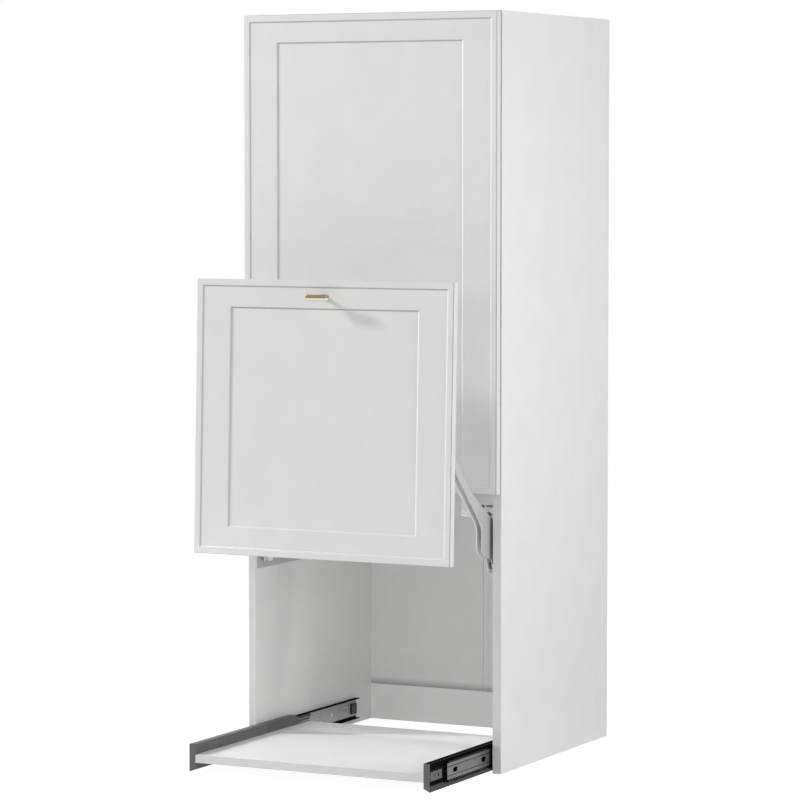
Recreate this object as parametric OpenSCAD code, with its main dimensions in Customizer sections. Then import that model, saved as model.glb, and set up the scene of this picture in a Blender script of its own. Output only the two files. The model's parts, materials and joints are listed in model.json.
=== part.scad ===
// Tall kitchen wall cabinet: a hinged upper door, a parallel lift door shown raised, and a shelf on
// ball runners shown pulled out. Millimetres, +Z up, +Y to the wall, front towards -Y.
// The origin is the centre of the rear rail's underside, on the surface that the cabinet stands on.

/* [Carcass] */
// Overall width over both side panels
cab_w = 600; // [500:1:800]
// Overall height of the side panels
cab_h = 1586; // [1450:1:1800]
// Depth of the carcass without the doors
cab_d = 555; // [540:1:640]
// Thickness of the left side panel
left_t = 16; // [15:1:22]
// Thickness of the right side panel
right_t = 19; // [15:1:22]
// Thickness of the top panel, the divider and the inner shelves
board_t = 18; // [15:1:22]
// Height of the divider's underside above the standing surface
divider_z = 567; // [540:1:600]
// Thickness of the two back panels
back_t = 3; // [2:0.5:5]
// Depth of the wall recess behind the back panels
back_recess = 6; // [3:1:10]
// Depth of the groove in each side panel that holds a back panel
groove_depth = 5; // [3:1:8]
// Sideways offset of the joint between the back panels
joint_x = 14; // [-60:1:60]
// Width of the strip that covers the joint
strip_w = 26; // [16:1:40]
// Thickness of each flange of that strip
strip_t = 2; // [1.5:0.5:3]
// Gap between the two back panels
back_gap = 3; // [2:0.5:5]
// Height of the rear rail
rail_h = 81; // [50:1:110]
// Thickness of the rear rail
rail_t = 12; // [12:1:22]

/* [Inner shelves] */
// Number of adjustable shelves behind the upper door
shelf_count = 3; // [3:1:3]
// Space between an inner shelf's front edge and the carcass front
shelf_setback = 22; // [10:1:60]
// Space at each end of an inner shelf
shelf_end_gap = 1; // [0.5:0.5:3]
// Radius of a shelf pin and of its hole
pin_r = 2.5; // [2:0.5:4]
// Depth of a shelf pin's hole
pin_depth = 9; // [6:1:12]
// Length of a shelf pin outside the panel
pin_reach = 8; // [6:1:14]
// Distance of each pin row from the shelf's front and back edge
pin_inset = 37; // [25:1:80]

/* [Doors] */
// Thickness of both doors
door_t = 17; // [16:1:22]
// Gap between a closed door and the carcass front
door_gap = 2; // [1.5:0.5:4]
// How far a door's side edge stays inside the carcass width
door_side = 2; // [1:0.5:3]
// Gap between the two closed doors
door_split = 3; // [2:0.5:5]
// Height of the lift door
lift_door_h = 574; // [560:1:577]
// Width of the raised lip round a door
lip_w = 15; // [10:1:25]
// Depth of the step inside the lip
lip_step = 1.8; // [1:0.1:3]
// Width of a door's frame at its sides
frame_side = 80; // [60:1:110]
// Width of a door's frame at its top and bottom
frame_end = 58; // [45:1:100]
// Depth of the step from the frame down to the centre panel
panel_step = 2.6; // [1.5:0.1:4]

/* [Door hinges] */
// Number of hinges on the upper door
hinge_count = 4; // [2:1:5]
// Radius of a hinge cup
cup_r = 17.5; // [15:0.5:20]
// Depth of a hinge cup's bore
cup_depth = 11; // [9:0.5:12]
// Distance from the door's edge to the near side of a cup
cup_edge = 5; // [3:0.5:8]
// Distance from the door's ends to the first and last hinge
hinge_end = 100; // [70:1:160]

/* [Lift fitting] */
// Distance of the main arm's fixed pivot behind the carcass front
pivot_in = 51; // [48:0.2:56]
// Distance of that pivot below the divider
pivot_drop = 58.4; // [56:0.2:66]
// Length of the main arm between its pivots
arm_len = 285; // [275:0.5:292]
// Angle of the arms from straight down when the lift door is closed
arm_closed = 4.2; // [4:0.1:6]
// Angle of the arms from straight down in the raised position
arm_open = 125; // [115:0.1:128]
// Lean of the raised door, its bottom edge further out than its top
door_lean = 1.95; // [0:0.05:3]
// Distance between the pivots of the main arm and the follower arm
pivot_pitch = 31; // [29:1:33]
// Direction of the follower's pivot from the main pivot, from straight down
pivot_dir = 155; // [150:1:160]
// Radius of the pivot pins
pivot_r = 4; // [3:0.5:5]
// Radial running clearance round the pivot pins
pivot_play = 0.05; // [0.03:0.01:0.08]
// Radial clearance of the follower arm's open door pivot
open_play = 0.9; // [0.6:0.1:1.5]
// Thickness of the sheet steel in the arms and brackets
sheet_t = 2; // [1.5:0.5:3]
// Distance of the main arm from the side panel
arm_lane = 8; // [6:1:12]
// Width of the main arm's channel
arm_w = 14; // [12:1:18]
// Space between the main arm, the door bracket's plate and the follower arm
lane_gap = 0.6; // [0.4:0.1:1]
// Thickness of the follower arm
follower_t = 12; // [8:1:14]
// Half the width of the follower arm
follower_half = 6.5; // [6:0.5:8]
// Thickness of the fitting's base plate on the side panel
base_t = 2.5; // [2:0.5:4]
// Length of the spring cover behind the arms
cover_len = 150; // [120:1:170]
// Height of the spring cover
cover_h = 110; // [80:1:120]
// Width of the spring cover
cover_w = 38; // [34:1:50]
// Wall of the spring cover
cover_wall = 2; // [1.5:0.5:3]

/* [Handle] */
// Length of the handle's bar
bar_len = 52; // [30:1:160]
// Height of the handle's bar
bar_h = 11.5; // [8:0.5:16]
// Depth of the handle's bar
bar_d = 10; // [8:0.5:16]
// Chamfer along the edges of the bar
bar_chamfer = 2.5; // [1:0.5:3.5]
// Distance from the door's face to the middle of the bar
bar_out = 30; // [22:1:45]
// Radius of the handle's stem
stem_r = 4.5; // [3:0.5:7]
// Height of the handle's middle below the door's top edge
handle_drop = 35; // [20:1:120]

/* [Pull-out shelf] */
// Thickness of the pull-out shelf board
pull_t = 17; // [15:1:19]
// Depth of the pull-out shelf board
pull_d = 500; // [460:1:510]
// Height of the board's underside above the standing surface
pull_z = 25; // [20:1:32]
// How far the shelf is pulled out past the carcass front
pull_out = 290; // [220:1:300]
// Space between the pushed-in shelf and the carcass front
pull_inset = 3; // [2:0.5:6]
// Overall height of the dark side bracket beside the board
wing_h = 58; // [52:1:66]
// Height of the side bracket's lower edge
wing_z = 6; // [4:1:10]
// Width of the space between a side panel and the board
runner_w = 17.2; // [16:0.1:22]
// Thickness of the runner steel
runner_t = 1.5; // [1.2:0.1:2]
// Gap between a side panel and the moving side bracket
wing_gap = 2.8; // [2.2:0.1:4]
// Length of the dark bracket beside the board
wing_len = 455; // [300:1:490]
// Length of the cabinet member
rail_len = 461; // [420:1:470]
// Length of the middle member
mid_len = 440; // [400:1:460]
// How far the middle member is pulled out past the carcass front
mid_out = 207.5; // [120:0.5:215]

/* [Wall fixing] */
// Radius of the wall bolt's hole in each hanging bracket
bolt_r = 4.5; // [3:0.5:6]
// Height of a hanging bracket
bracket_h = 70; // [50:1:100]
// Length of each leg of a hanging bracket
bracket_leg = 45; // [35:1:60]
// Thickness of a hanging bracket
bracket_t = 3; // [2:0.5:5]

/* [Hidden] */
$fn = 48;

// Frame of the carcass
back_y = rail_t / 2;
front_y = back_y - cab_d;
inner_l = -cab_w / 2 + left_t;
inner_r = cab_w / 2 - right_t;
mid_x = (inner_l + inner_r) / 2;
clear_w = inner_r - inner_l;
back_face_y = back_y - back_recess - back_t;
board_back_y = back_face_y - strip_t - 0.3;
divider_top = divider_z + board_t;
top_z = cab_h - board_t;

// Doors in their closed places
door_w = cab_w - 2 * door_side;
door_back_y = front_y - door_gap;
door_front_y = door_back_y - door_t;
upper_z0 = divider_top + 1;
upper_z1 = cab_h - 2;
lift_z1 = upper_z0 - door_split;
lift_z0 = lift_z1 - lift_door_h;
frame_t = door_t - lip_step;

// Lift fitting: direction of an arm at an angle from straight down, as [y, z]
function arm_dir(a) = [-sin(a), -cos(a)];
main_p0 = [front_y + pivot_in, divider_z - pivot_drop];
follow_p0 = main_p0 + pivot_pitch * arm_dir(pivot_dir);
main_open = main_p0 + arm_len * arm_dir(arm_open);
main_shut = main_p0 + arm_len * arm_dir(arm_closed);
follow_shut = main_shut + pivot_pitch * arm_dir(pivot_dir);
// Place in the raised door of a point given on the closed door
function raised(p) = main_open + [
    (p[0] - main_shut[0]) * cos(door_lean) + (p[1] - main_shut[1]) * sin(door_lean),
    (p[1] - main_shut[1]) * cos(door_lean) - (p[0] - main_shut[0]) * sin(door_lean)];
follow_open = raised(follow_shut);
lane_in = arm_lane + arm_w + lane_gap;
lane_follow = lane_in + sheet_t + lane_gap;
hole_r = pivot_r + pivot_play;
along = arm_dir(arm_open);
across = [cos(arm_open), -sin(arm_open)];

// Pull-out shelf and runners
front_plate_t = 2;
plate_room = front_plate_t + 0.5;
wing_step = 6;
mid_step = 6;
inner_step = 6;
shelf_y = front_y - pull_out;
mid_y = front_y - mid_out + plate_room;
cab_run_y = front_y + pull_inset + plate_room;
cab_run_z = wing_z + wing_step;
cab_run_h = wing_h - 2 * wing_step;
mid_run_z = cab_run_z + mid_step;
mid_run_h = cab_run_h - 2 * mid_step;
inner_run_z = mid_run_z + inner_step;
inner_run_h = mid_run_h - 2 * inner_step;

// A flat shape drawn in Y and Z, extruded from x0 to x1
module plate_yz(x0, x1) {
    translate([x0, 0, 0]) rotate([90, 0, 90]) linear_extrude(x1 - x0) children();
}

// A round bar along X, centred on a [y, z] point
module bar_x(x0, x1, p, r) {
    translate([x0, p[0], p[1]]) rotate([0, 90, 0]) cylinder(r = r, h = x1 - x0);
}

// A box given by its two corners
module box(a, b) {
    translate(a) cube(b - a);
}

// What is drawn for the right side, mirrored to the left side
module on_left() {
    translate([2 * mid_x, 0, 0]) mirror([1, 0, 0]) children();
}

// What belongs to the closed lift door, carried to its raised place
module on_raised_door() {
    translate([0, main_open[0], main_open[1]])
        rotate([-door_lean, 0, 0])
            translate([0, -main_shut[0], -main_shut[1]]) children();
}

// Heights of the inner shelves' undersides
shelf_pitch = (top_z - divider_top - shelf_count * board_t) / (shelf_count + 1);
function shelf_z(i) = divider_top + shelf_pitch + i * (shelf_pitch + board_t);
shelf_y0 = front_y + shelf_setback;
shelf_back_gap = 8;
shelf_y1 = board_back_y - shelf_back_gap;
pin_rows = [shelf_y0 + pin_inset, shelf_y1 - pin_inset];
pin_z_step = 32;

// Holes of the shelf pins in one side panel, going into it from its inner face
module pin_holes(x0, x1) {
    for (i = [0 : shelf_count - 1], k = [-1 : 1], y = pin_rows)
        bar_x(x0, x1, [y, shelf_z(i) - pin_r + k * pin_z_step], pin_r);
}

// Two plugged holes low on each side panel's inner face
mark_deep = 3;
mark_y = front_y + 61.5;
mark_z = [254.5, 281.5];

// Cam joints: two at each end of the top panel, the divider and the rear rail
cam_r = 7.5;
cam_deep = 12;
cam_bolt_r = 3;
cam_bolt_in = 9;
cam_in = 24;
cam_end = 60;
cam_slot = [9, 1.6, 3];
cam_rows = [front_y + cam_end, board_back_y - cam_end];
cam_boards_z = [top_z, divider_z];

module cam_place() {
    for (z = cam_boards_z, y = cam_rows) {
        translate([inner_l, y, z]) children();
        translate([inner_r, y, z]) mirror([1, 0, 0]) children();
    }
}
module cam_bolt_shape() {
    bolt_z = board_t / 2;
    translate([-cam_bolt_in, 0, bolt_z]) rotate([0, 90, 0])
        cylinder(r = cam_bolt_r, h = cam_bolt_in + cam_in - cam_r);
}
module cam_lock_shape() {
    translate([cam_in, 0, 0]) cylinder(r = cam_r, h = cam_deep);
}

module side_panel(x0, x1, inner_x, into) {
    color("whitesmoke") difference() {
        box([x0, front_y, 0], [x1, back_y, cab_h]);
        box([min(inner_x, inner_x + into * groove_depth), back_face_y, rail_h],
            [max(inner_x, inner_x + into * groove_depth), back_face_y + back_t, top_z]);
        pin_holes(min(inner_x, inner_x + into * pin_depth), max(inner_x, inner_x + into * pin_depth));
        for (z = mark_z)
            bar_x(min(inner_x, inner_x + into * mark_deep), max(inner_x, inner_x + into * mark_deep),
                [mark_y, z], pin_r);
        for (y = run_screw_y)
            bar_x(min(inner_x, inner_x + into * run_screw_in), max(inner_x, inner_x + into * run_screw_in),
                [y, cab_run_mid], run_screw_r);
        cam_place() cam_bolt_shape();
    }
}
module left_side_panel() { side_panel(-cab_w / 2, inner_l, inner_l, -1); }
module right_side_panel() { side_panel(inner_r, cab_w / 2, inner_r, 1); }

module top_panel() {
    color("whitesmoke") difference() {
        box([inner_l, front_y, top_z], [inner_r, back_y, cab_h]);
        cam_place() { cam_bolt_shape(); cam_lock_shape(); }
    }
}
module divider_panel() {
    color("whitesmoke") difference() {
        box([inner_l, front_y, divider_z], [inner_r, board_back_y, divider_top]);
        cam_place() { cam_bolt_shape(); cam_lock_shape(); }
    }
}
module rear_rail() {
    color("whitesmoke") box([inner_l, back_y - rail_t, 0], [inner_r, back_y, rail_h]);
}

// Hole of the wall bolt through a back panel
wall_bolt_in = 24;
wall_bolt_drop = 40;
access_gap = 1;
wall_bolt_x = bracket_t + wall_bolt_in;
wall_bolt_z = top_z - wall_bolt_drop;
module wall_bolt_hole(r) {
    for (x = [inner_l + wall_bolt_x, inner_r - wall_bolt_x])
        translate([x, back_y, wall_bolt_z]) rotate([90, 0, 0]) cylinder(r = r, h = 2 * bracket_leg);
}
module back_panel(x0, x1) {
    color("gainsboro") difference() {
        box([x0, back_face_y, rail_h], [x1, back_face_y + back_t, top_z]);
        wall_bolt_hole(bolt_r + access_gap);
    }
}
module back_panel_left() { back_panel(inner_l - groove_depth, joint_x - back_gap / 2); }
module back_panel_right() { back_panel(joint_x + back_gap / 2, inner_r + groove_depth); }

// H-section strip that joins the back panels, grooved along its middle
groove_w = 3;
module back_joint_strip() {
    color("gainsboro") difference() {
        union() {
            box([joint_x - strip_w / 2, back_face_y - strip_t, rail_h],
                [joint_x + strip_w / 2, back_face_y, top_z]);
            box([joint_x - back_gap / 2, back_face_y, rail_h],
                [joint_x + back_gap / 2, back_face_y + back_t, top_z]);
            box([joint_x - strip_w / 2, back_face_y + back_t, rail_h],
                [joint_x + strip_w / 2, back_face_y + back_t + strip_t, top_z]);
        }
        box([joint_x - groove_w / 2, back_face_y - strip_t, rail_h],
            [joint_x + groove_w / 2, back_face_y - strip_t / 3, top_z]);
    }
}

module inner_shelf(i) {
    color("whitesmoke")
        box([inner_l + shelf_end_gap, shelf_y0, shelf_z(i)],
            [inner_r - shelf_end_gap, shelf_y1, shelf_z(i) + board_t]);
}
module inner_shelf_low() { inner_shelf(0); }
module inner_shelf_mid() { inner_shelf(1); }
module inner_shelf_high() { inner_shelf(2); }

// Shelf pins: a stub in the panel and a spoon under the shelf
module shelf_pins() {
    color("silver") for (i = [0 : shelf_count - 1], y = pin_rows) {
        bar_x(inner_l - pin_depth, inner_l + pin_reach, [y, shelf_z(i) - pin_r], pin_r);
        bar_x(inner_r - pin_reach, inner_r + pin_depth, [y, shelf_z(i) - pin_r], pin_r);
    }
}
module cam_locks() {
    color("silver") cam_place() difference() {
        cam_lock_shape();
        translate([cam_in, 0, 0]) cube(cam_slot, center = true);
    }
}
module cam_bolts() { color("silver") cam_place() cam_bolt_shape(); }

// Steel angle in the upper rear corner, with the wall bolt's hole
bracket_top_gap = 5;
module wall_bracket() {
    top = top_z - bracket_top_gap;
    color("silver") difference() {
        union() {
            box([inner_r - bracket_t, back_face_y - bracket_leg, top - bracket_h],
                [inner_r, back_face_y, top]);
            box([inner_r - bracket_leg, back_face_y - bracket_t, top - bracket_h],
                [inner_r, back_face_y, top]);
        }
        wall_bolt_hole(bolt_r);
    }
}
module wall_bracket_right() { wall_bracket(); }
module wall_bracket_left() { on_left() wall_bracket(); }

// Concealed hinges on the left side panel, each turning on a pin inside its cup
hinge_step = (upper_z1 - upper_z0 - 2 * hinge_end) / (hinge_count - 1);
cup_x = -cab_w / 2 + door_side + cup_edge + cup_r;
cup_wall = 2;
cup_half_z = 8;
cup_slot = [-9, 12];
flange = [20, 1.2, 56];
plate_t = 6;
plate_y = [26, 60];
plate_h = 16;
plate_wing_y = [33, 41];
plate_wing_h = 36;
arm_t = 10;
arm_y = [8, 62];
arm_h = 14;
hinge_pin_r = 1.5;
hinge_pin_over = 3;
hinge_pin_x = cup_x + 1;
hinge_pin_y = door_back_y - 5;
lug_r = 3;
lug_half = 6;
function hinge_z(i) = upper_z0 + hinge_end + i * hinge_step;
module hinge_places() {
    for (i = [0 : hinge_count - 1]) translate([0, 0, hinge_z(i)]) children();
}
module hinge_plates() {
    color("silver") hinge_places() translate([inner_l, front_y, 0]) {
        box([0, plate_y[0], -plate_h / 2], [plate_t, plate_y[1], plate_h / 2]);
        box([0, plate_wing_y[0], -plate_wing_h / 2], [plate_t / 2, plate_wing_y[1], plate_wing_h / 2]);
    }
}
// The arm lies on its plate and its lug reaches into the door's cup
module hinge_arms() {
    color("silver") hinge_places() difference() {
        union() {
            box([inner_l + plate_t, front_y + arm_y[0], -arm_h / 2],
                [inner_l + plate_t + arm_t, front_y + arm_y[1], arm_h / 2]);
            box([hinge_pin_x - lug_r, hinge_pin_y, -lug_half],
                [hinge_pin_x + lug_r, front_y + arm_y[0], lug_half]);
            translate([hinge_pin_x, hinge_pin_y, -lug_half]) cylinder(r = lug_r, h = 2 * lug_half);
        }
        translate([hinge_pin_x, hinge_pin_y, -lug_half - 1])
            cylinder(r = hinge_pin_r + pivot_play, h = 2 * lug_half + 2);
    }
}
module hinge_pin_shape() {
    translate([hinge_pin_x, hinge_pin_y, -cup_half_z - hinge_pin_over])
        cylinder(r = hinge_pin_r, h = 2 * (cup_half_z + hinge_pin_over));
}
module hinge_pins() { color("silver") hinge_places() hinge_pin_shape(); }
module hinge_cups() {
    color("silver") hinge_places() difference() {
        translate([cup_x, door_back_y, 0]) {
            rotate([90, 0, 0]) cylinder(r = cup_r, h = cup_depth);
            box([-flange[0] / 2, 0, -flange[2] / 2], [flange[0] / 2, flange[1], flange[2] / 2]);
        }
        translate([cup_x, door_back_y, 0])
            box([cup_slot[0], cup_wall - cup_depth, -cup_half_z], [cup_slot[1], 2, cup_half_z]);
        hinge_pin_shape();
    }
}

// A door: outer lip, frame and centre panel, each a step lower than the one outside it
module door_blank(z0, z1) {
    x0 = -door_w / 2;
    x1 = door_w / 2;
    difference() {
        box([x0, door_front_y, z0], [x1, door_back_y, z1]);
        box([x0 + lip_w, door_front_y - 1, z0 + lip_w],
            [x1 - lip_w, door_front_y + lip_step, z1 - lip_w]);
        box([x0 + frame_side, door_front_y - 1, z0 + frame_end],
            [x1 - frame_side, door_front_y + lip_step + panel_step, z1 - frame_end]);
    }
}
module upper_door() {
    color("whitesmoke") difference() {
        door_blank(upper_z0, upper_z1);
        for (i = [0 : hinge_count - 1])
            translate([cup_x, door_back_y, hinge_z(i)]) rotate([90, 0, 0]) cylinder(r = cup_r, h = cup_depth);
    }
}

// Soft pads between the doors and the carcass
pad_r = 4;
pad_t = 1.6;
upper_pad_end = 9;
lift_pad_end = 30;
module pads(zs, xs) {
    color("lightgray") for (z = zs, x = xs)
        translate([x, door_back_y + pad_t, z]) rotate([90, 0, 0]) cylinder(r = pad_r, h = pad_t);
}
module upper_door_pads() {
    pads([upper_z0 + upper_pad_end, upper_z1 - upper_pad_end], [inner_r + right_t / 2]);
}
module lift_door_pads() {
    on_raised_door() pads([lift_z0 + lift_pad_end], [inner_l - left_t / 2, inner_r + right_t / 2]);
}

// Lift fitting: base plate screwed to the side panel
nose_y = front_y + 4;
nose_d = 34;
base_h = 160;
base_lap = 4;
cover_drop = 6;
cover_y0 = main_p0[0] + 101;
cover_z1 = divider_z - cover_drop;
module lift_plate() {
    color("lightgray") difference() {
        box([inner_r - base_t, nose_y + base_lap, cover_z1 - base_h],
            [inner_r, cover_y0 + cover_len, cover_z1]);
        for (p = [main_p0, follow_p0]) bar_x(inner_r - base_t, inner_r, p, pivot_r);
    }
}
module lift_plate_right() { lift_plate(); }
module lift_plate_left() { on_left() lift_plate(); }

// Spring cover: an open shell against the base plate
module lift_cover() {
    x0 = inner_r - base_t - cover_w;
    x1 = inner_r - base_t;
    y1 = cover_y0 + cover_len;
    z0 = cover_z1 - cover_h;
    w = cover_wall;
    color("white") difference() {
        box([x0, cover_y0, z0], [x1, y1, cover_z1]);
        box([x0 + w, cover_y0 + w, z0 + w], [x1, y1 - w, cover_z1 - w]);
    }
}
module lift_cover_right() { lift_cover(); }
module lift_cover_left() { on_left() lift_cover(); }

// Spring pack inside the cover: a coil round a rod between two end caps
spring_r = 12;
wire_r = 1.6;
cap_t = 8;
cap_rim = 3;
coil_gap = 1;
coils = 8;
spring_in = base_t + 2 * cap_rim + spring_r;
module lift_spring(cx) {
    cz = cover_z1 - cover_h / 2;
    y0 = cover_y0 + cover_wall;
    len = cover_len - 2 * cover_wall;
    pitch = (len - 2 * cap_t - 2 * wire_r - 2 * coil_gap) / coils;
    color("dimgray") translate([cx, y0 + len, cz]) rotate([90, 0, 0]) union() {
        cylinder(r = spring_r + cap_rim, h = cap_t);
        translate([0, 0, len - cap_t]) cylinder(r = spring_r + cap_rim, h = cap_t);
        cylinder(r = spring_r - 2 * wire_r, h = len);
        for (i = [0 : coils])
            translate([0, 0, cap_t + coil_gap + i * pitch]) cylinder(r = spring_r, h = 2 * wire_r);
    }
}
module lift_spring_right() { lift_spring(inner_r - spring_in); }
module lift_spring_left() { lift_spring(inner_l + spring_in); }

// Front block of the fitting under the divider, with two slots, and its nose
nose_w = 34;
nose_h = 12;
nose_slot_d = 12;
nose_z = divider_z - nose_h;
module lift_nose() {
    x0 = inner_r - nose_w;
    color("white") difference() {
        box([x0, nose_y, nose_z], [inner_r, nose_y + nose_d, divider_z]);
        box([x0 + 4, nose_y - 1, nose_z + 2], [x0 + 13, nose_y + nose_slot_d, nose_z + 7]);
        box([x0 + 15, nose_y - 1, nose_z + 3], [x0 + 31, nose_y + nose_slot_d, nose_z + 7]);
        box([inner_r - base_t, nose_y + base_lap, nose_z], [inner_r, nose_y + nose_d, cover_z1]);
    }
}
module lift_nose_right() { lift_nose(); }
module lift_nose_left() { on_left() lift_nose(); }

// Ribbed damper block screwed under the divider
damper_w = 36;
damper_h = 32;
damper_d = 26;
damper_ribs = 6;
damper_gap = 3;
rib_deep = 2;
rib_pitch = damper_h / damper_ribs;
module lift_damper() {
    x1 = inner_r - lane_follow - follower_t - damper_gap;
    x0 = x1 - damper_w;
    y0 = front_y + damper_gap;
    color("white") union() {
        box([x0 + rib_deep, y0 + rib_deep, divider_z - damper_h],
            [x1 - rib_deep, y0 + damper_d - rib_deep, divider_z]);
        for (i = [0 : damper_ribs - 1])
            box([x0, y0, divider_z - i * rib_pitch - rib_pitch / 2],
                [x1, y0 + damper_d, divider_z - i * rib_pitch]);
    }
}
module lift_damper_right() { lift_damper(); }
module lift_damper_left() { on_left() lift_damper(); }

module fixed_pins_one_side() {
    bar_x(inner_r - arm_lane - arm_w - lane_gap / 2, inner_r, main_p0, pivot_r);
    bar_x(inner_r - lane_follow - follower_t, inner_r, follow_p0, pivot_r);
}
module fixed_pivot_pins() {
    color("silver") { fixed_pins_one_side(); on_left() fixed_pins_one_side(); }
}

// Side shape of the main arm: s runs along the arm from its fixed pivot, t towards the open side
function arm_pt(s, t) = main_p0 + s * along + t * across;
arm_front = [[arm_len - 20, 5], [arm_len - 50, 15], [arm_len - 68, 18], [164, 26], [98, 37], [78, 43],
    [50, 82], [25, 83], [-2, 73], [-31, 91]];
arm_back = [[-43, 82], [-20, 47], [-12, 8], [-8, -9], [8, -9], [60, 3], [154, 7], [172, 6],
    [arm_len - 46, -6], [arm_len - 4, -10]];
arm_pocket = [[arm_len + 20, -30], [arm_len + 20, 60], [120, 110], [0, 130], [-60, 110], [-42, 85],
    [-18, 49], [-30, 20], [-30, -30], [66, -30], [66, 5.9], [154, 9.5], [172, 8.5], [arm_len - 52, -2.3],
    [arm_len - 52, -30]];
eye_r = 11;
roller_r = 7;
roller_pin_r = 3;
roller_gap = 0.3;
roller_p = arm_pt(-26, 74);
module main_arm() {
    x1 = inner_r - arm_lane;
    x0 = x1 - arm_w;
    color("white") difference() {
        plate_yz(x0, x1) union() {
            polygon([for (p = concat(arm_front, arm_back)) arm_pt(p[0], p[1])]);
            translate(main_open) circle(r = eye_r);
        }
        plate_yz(x0 + sheet_t, x1 - sheet_t) polygon([for (p = arm_pocket) arm_pt(p[0], p[1])]);
        for (p = [main_open, main_p0]) bar_x(x0 - 1, x1 + 1, p, hole_r);
        bar_x(x0 - 1, x1 + 1, roller_p, roller_pin_r);
    }
}
module main_arm_right() { main_arm(); }
module main_arm_left() { on_left() main_arm(); }

// Roller and its pin in the main arm's tail, on which the spring acts
module arm_roller() {
    x1 = inner_r - arm_lane;
    x0 = x1 - arm_w;
    color("dimgray") union() {
        bar_x(x0 + sheet_t + roller_gap, x1 - sheet_t - roller_gap, roller_p, roller_r);
        bar_x(x0, x1, roller_p, roller_pin_r);
    }
}
module arm_roller_right() { arm_roller(); }
module arm_roller_left() { on_left() arm_roller(); }

// A flat bar between two [y, z] points
module flat_bar(a, b, r) {
    n = [a[1] - b[1], b[0] - a[0]] * r / norm(b - a);
    polygon([a - n, b - n, b + n, a + n]);
}

// Follower arm: a flat bar beside the main arm, bent to pass under the divider
follow_bend = follow_p0 + [-67, 10];
follow_eye = 1.3;
follow_knee = 0.7;
module follower_arm() {
    x1 = inner_r - lane_follow;
    x0 = x1 - follower_t;
    color("white") plate_yz(x0, x1) difference() {
        union() {
            flat_bar(follow_p0, follow_bend, follower_half);
            flat_bar(follow_bend, follow_open, follower_half);
            for (p = [follow_p0, follow_open]) translate(p) circle(r = follower_half + follow_eye);
            translate(follow_bend) circle(r = follower_half + follow_knee);
        }
        translate(follow_p0) circle(r = hole_r);
        translate(follow_open) circle(r = pivot_r + open_play);
    }
}
module follower_arm_right() { follower_arm(); }
module follower_arm_left() { on_left() follower_arm(); }

module lift_door() {
    color("whitesmoke") on_raised_door() difference() {
        door_blank(lift_z0, lift_z1);
        translate([0, door_back_y + 1, handle_z]) rotate([90, 0, 0]) cylinder(r = screw_r, h = door_t + 2);
        bracket_screw_shanks();
        on_left() bracket_screw_shanks();
    }
}

// Bracket behind the lift door: a foot on the door and a plate between the two arms
foot_t = 3;
foot_w = 26;
foot_over = 30;
bracket_eye_r = 9;
module door_bracket() {
    z0 = main_shut[1] - foot_over;
    z1 = follow_shut[1] + foot_over;
    x1 = inner_r - lane_in;
    x0 = x1 - sheet_t;
    r = bracket_eye_r;
    color("white") on_raised_door() {
        plate_yz(x0, x1) difference() {
            union() {
                polygon([[door_back_y, z0], [door_back_y, z1], [follow_shut[0], follow_shut[1] + r],
                    [main_shut[0] + r, main_shut[1]], [main_shut[0], main_shut[1] - r]]);
                translate(main_shut) circle(r = r);
                translate(follow_shut) circle(r = r);
            }
            translate(main_shut) circle(r = pivot_r);
            translate(follow_shut) circle(r = pivot_r);
        }
        difference() {
            box([x0 - foot_w, door_back_y, z0], [x0, door_back_y + foot_t, z1]);
            bracket_screw_shanks();
        }
    }
}
module door_bracket_right() { door_bracket(); }
module door_bracket_left() { on_left() door_bracket(); }

module door_pins_one_side() {
    x_plate = inner_r - lane_in;
    bar_x(x_plate - sheet_t, inner_r - arm_lane, main_shut, pivot_r);
    bar_x(inner_r - lane_follow - follower_t, x_plate, follow_shut, pivot_r);
}
module door_pivot_pins() {
    color("silver") on_raised_door() { door_pins_one_side(); on_left() door_pins_one_side(); }
}
bracket_screw_in = 10;
bracket_screw_r = 2;
bracket_screw_over = 18;
bracket_head_r = 4;
bracket_head_t = 2;
module bracket_screw_places() {
    for (z = [main_shut[1] - bracket_screw_over, follow_shut[1] + bracket_screw_over])
        translate([inner_r - lane_in - sheet_t - foot_w / 2 - 1, door_back_y, z])
            rotate([90, 0, 0]) children();
}
module bracket_screw_shanks() {
    bracket_screw_places() translate([0, 0, -foot_t])
        cylinder(r = bracket_screw_r, h = foot_t + bracket_screw_in);
}
module bracket_screw_heads() {
    bracket_screw_places() translate([0, 0, -foot_t - bracket_head_t])
        cylinder(r = bracket_head_r, h = bracket_head_t);
}
module bracket_screws() {
    color("silver") on_raised_door() {
        bracket_screw_shanks();
        bracket_screw_heads();
        on_left() {
            bracket_screw_shanks();
            bracket_screw_heads();
        }
    }
}

// Handle: a short chamfered bar on one stem, drawn at the closed door's front face
handle_z = lift_z1 - handle_drop;
frame_face_y = door_front_y + lip_step;
bar_y = frame_face_y - bar_out;
screw_r = 2.5;
screw_in = 8;
screw_head_r = 4.5;
screw_head_t = 2;
module handle_bar() {
    hy = bar_d / 2;
    hz = bar_h / 2;
    c = bar_chamfer;
    color("darkgoldenrod") on_raised_door() plate_yz(-bar_len / 2, bar_len / 2)
        translate([bar_y, handle_z])
            polygon([[-hy, -hz + c], [-hy + c, -hz], [hy - c, -hz], [hy, -hz + c],
                [hy, hz - c], [hy - c, hz], [-hy + c, hz], [-hy, hz - c]]);
}
module handle_stem() {
    color("darkgoldenrod") on_raised_door() translate([0, frame_face_y, handle_z]) rotate([90, 0, 0])
        difference() {
            cylinder(r = stem_r, h = bar_out - bar_d / 2);
            cylinder(r = screw_r, h = screw_in);
        }
}
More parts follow.
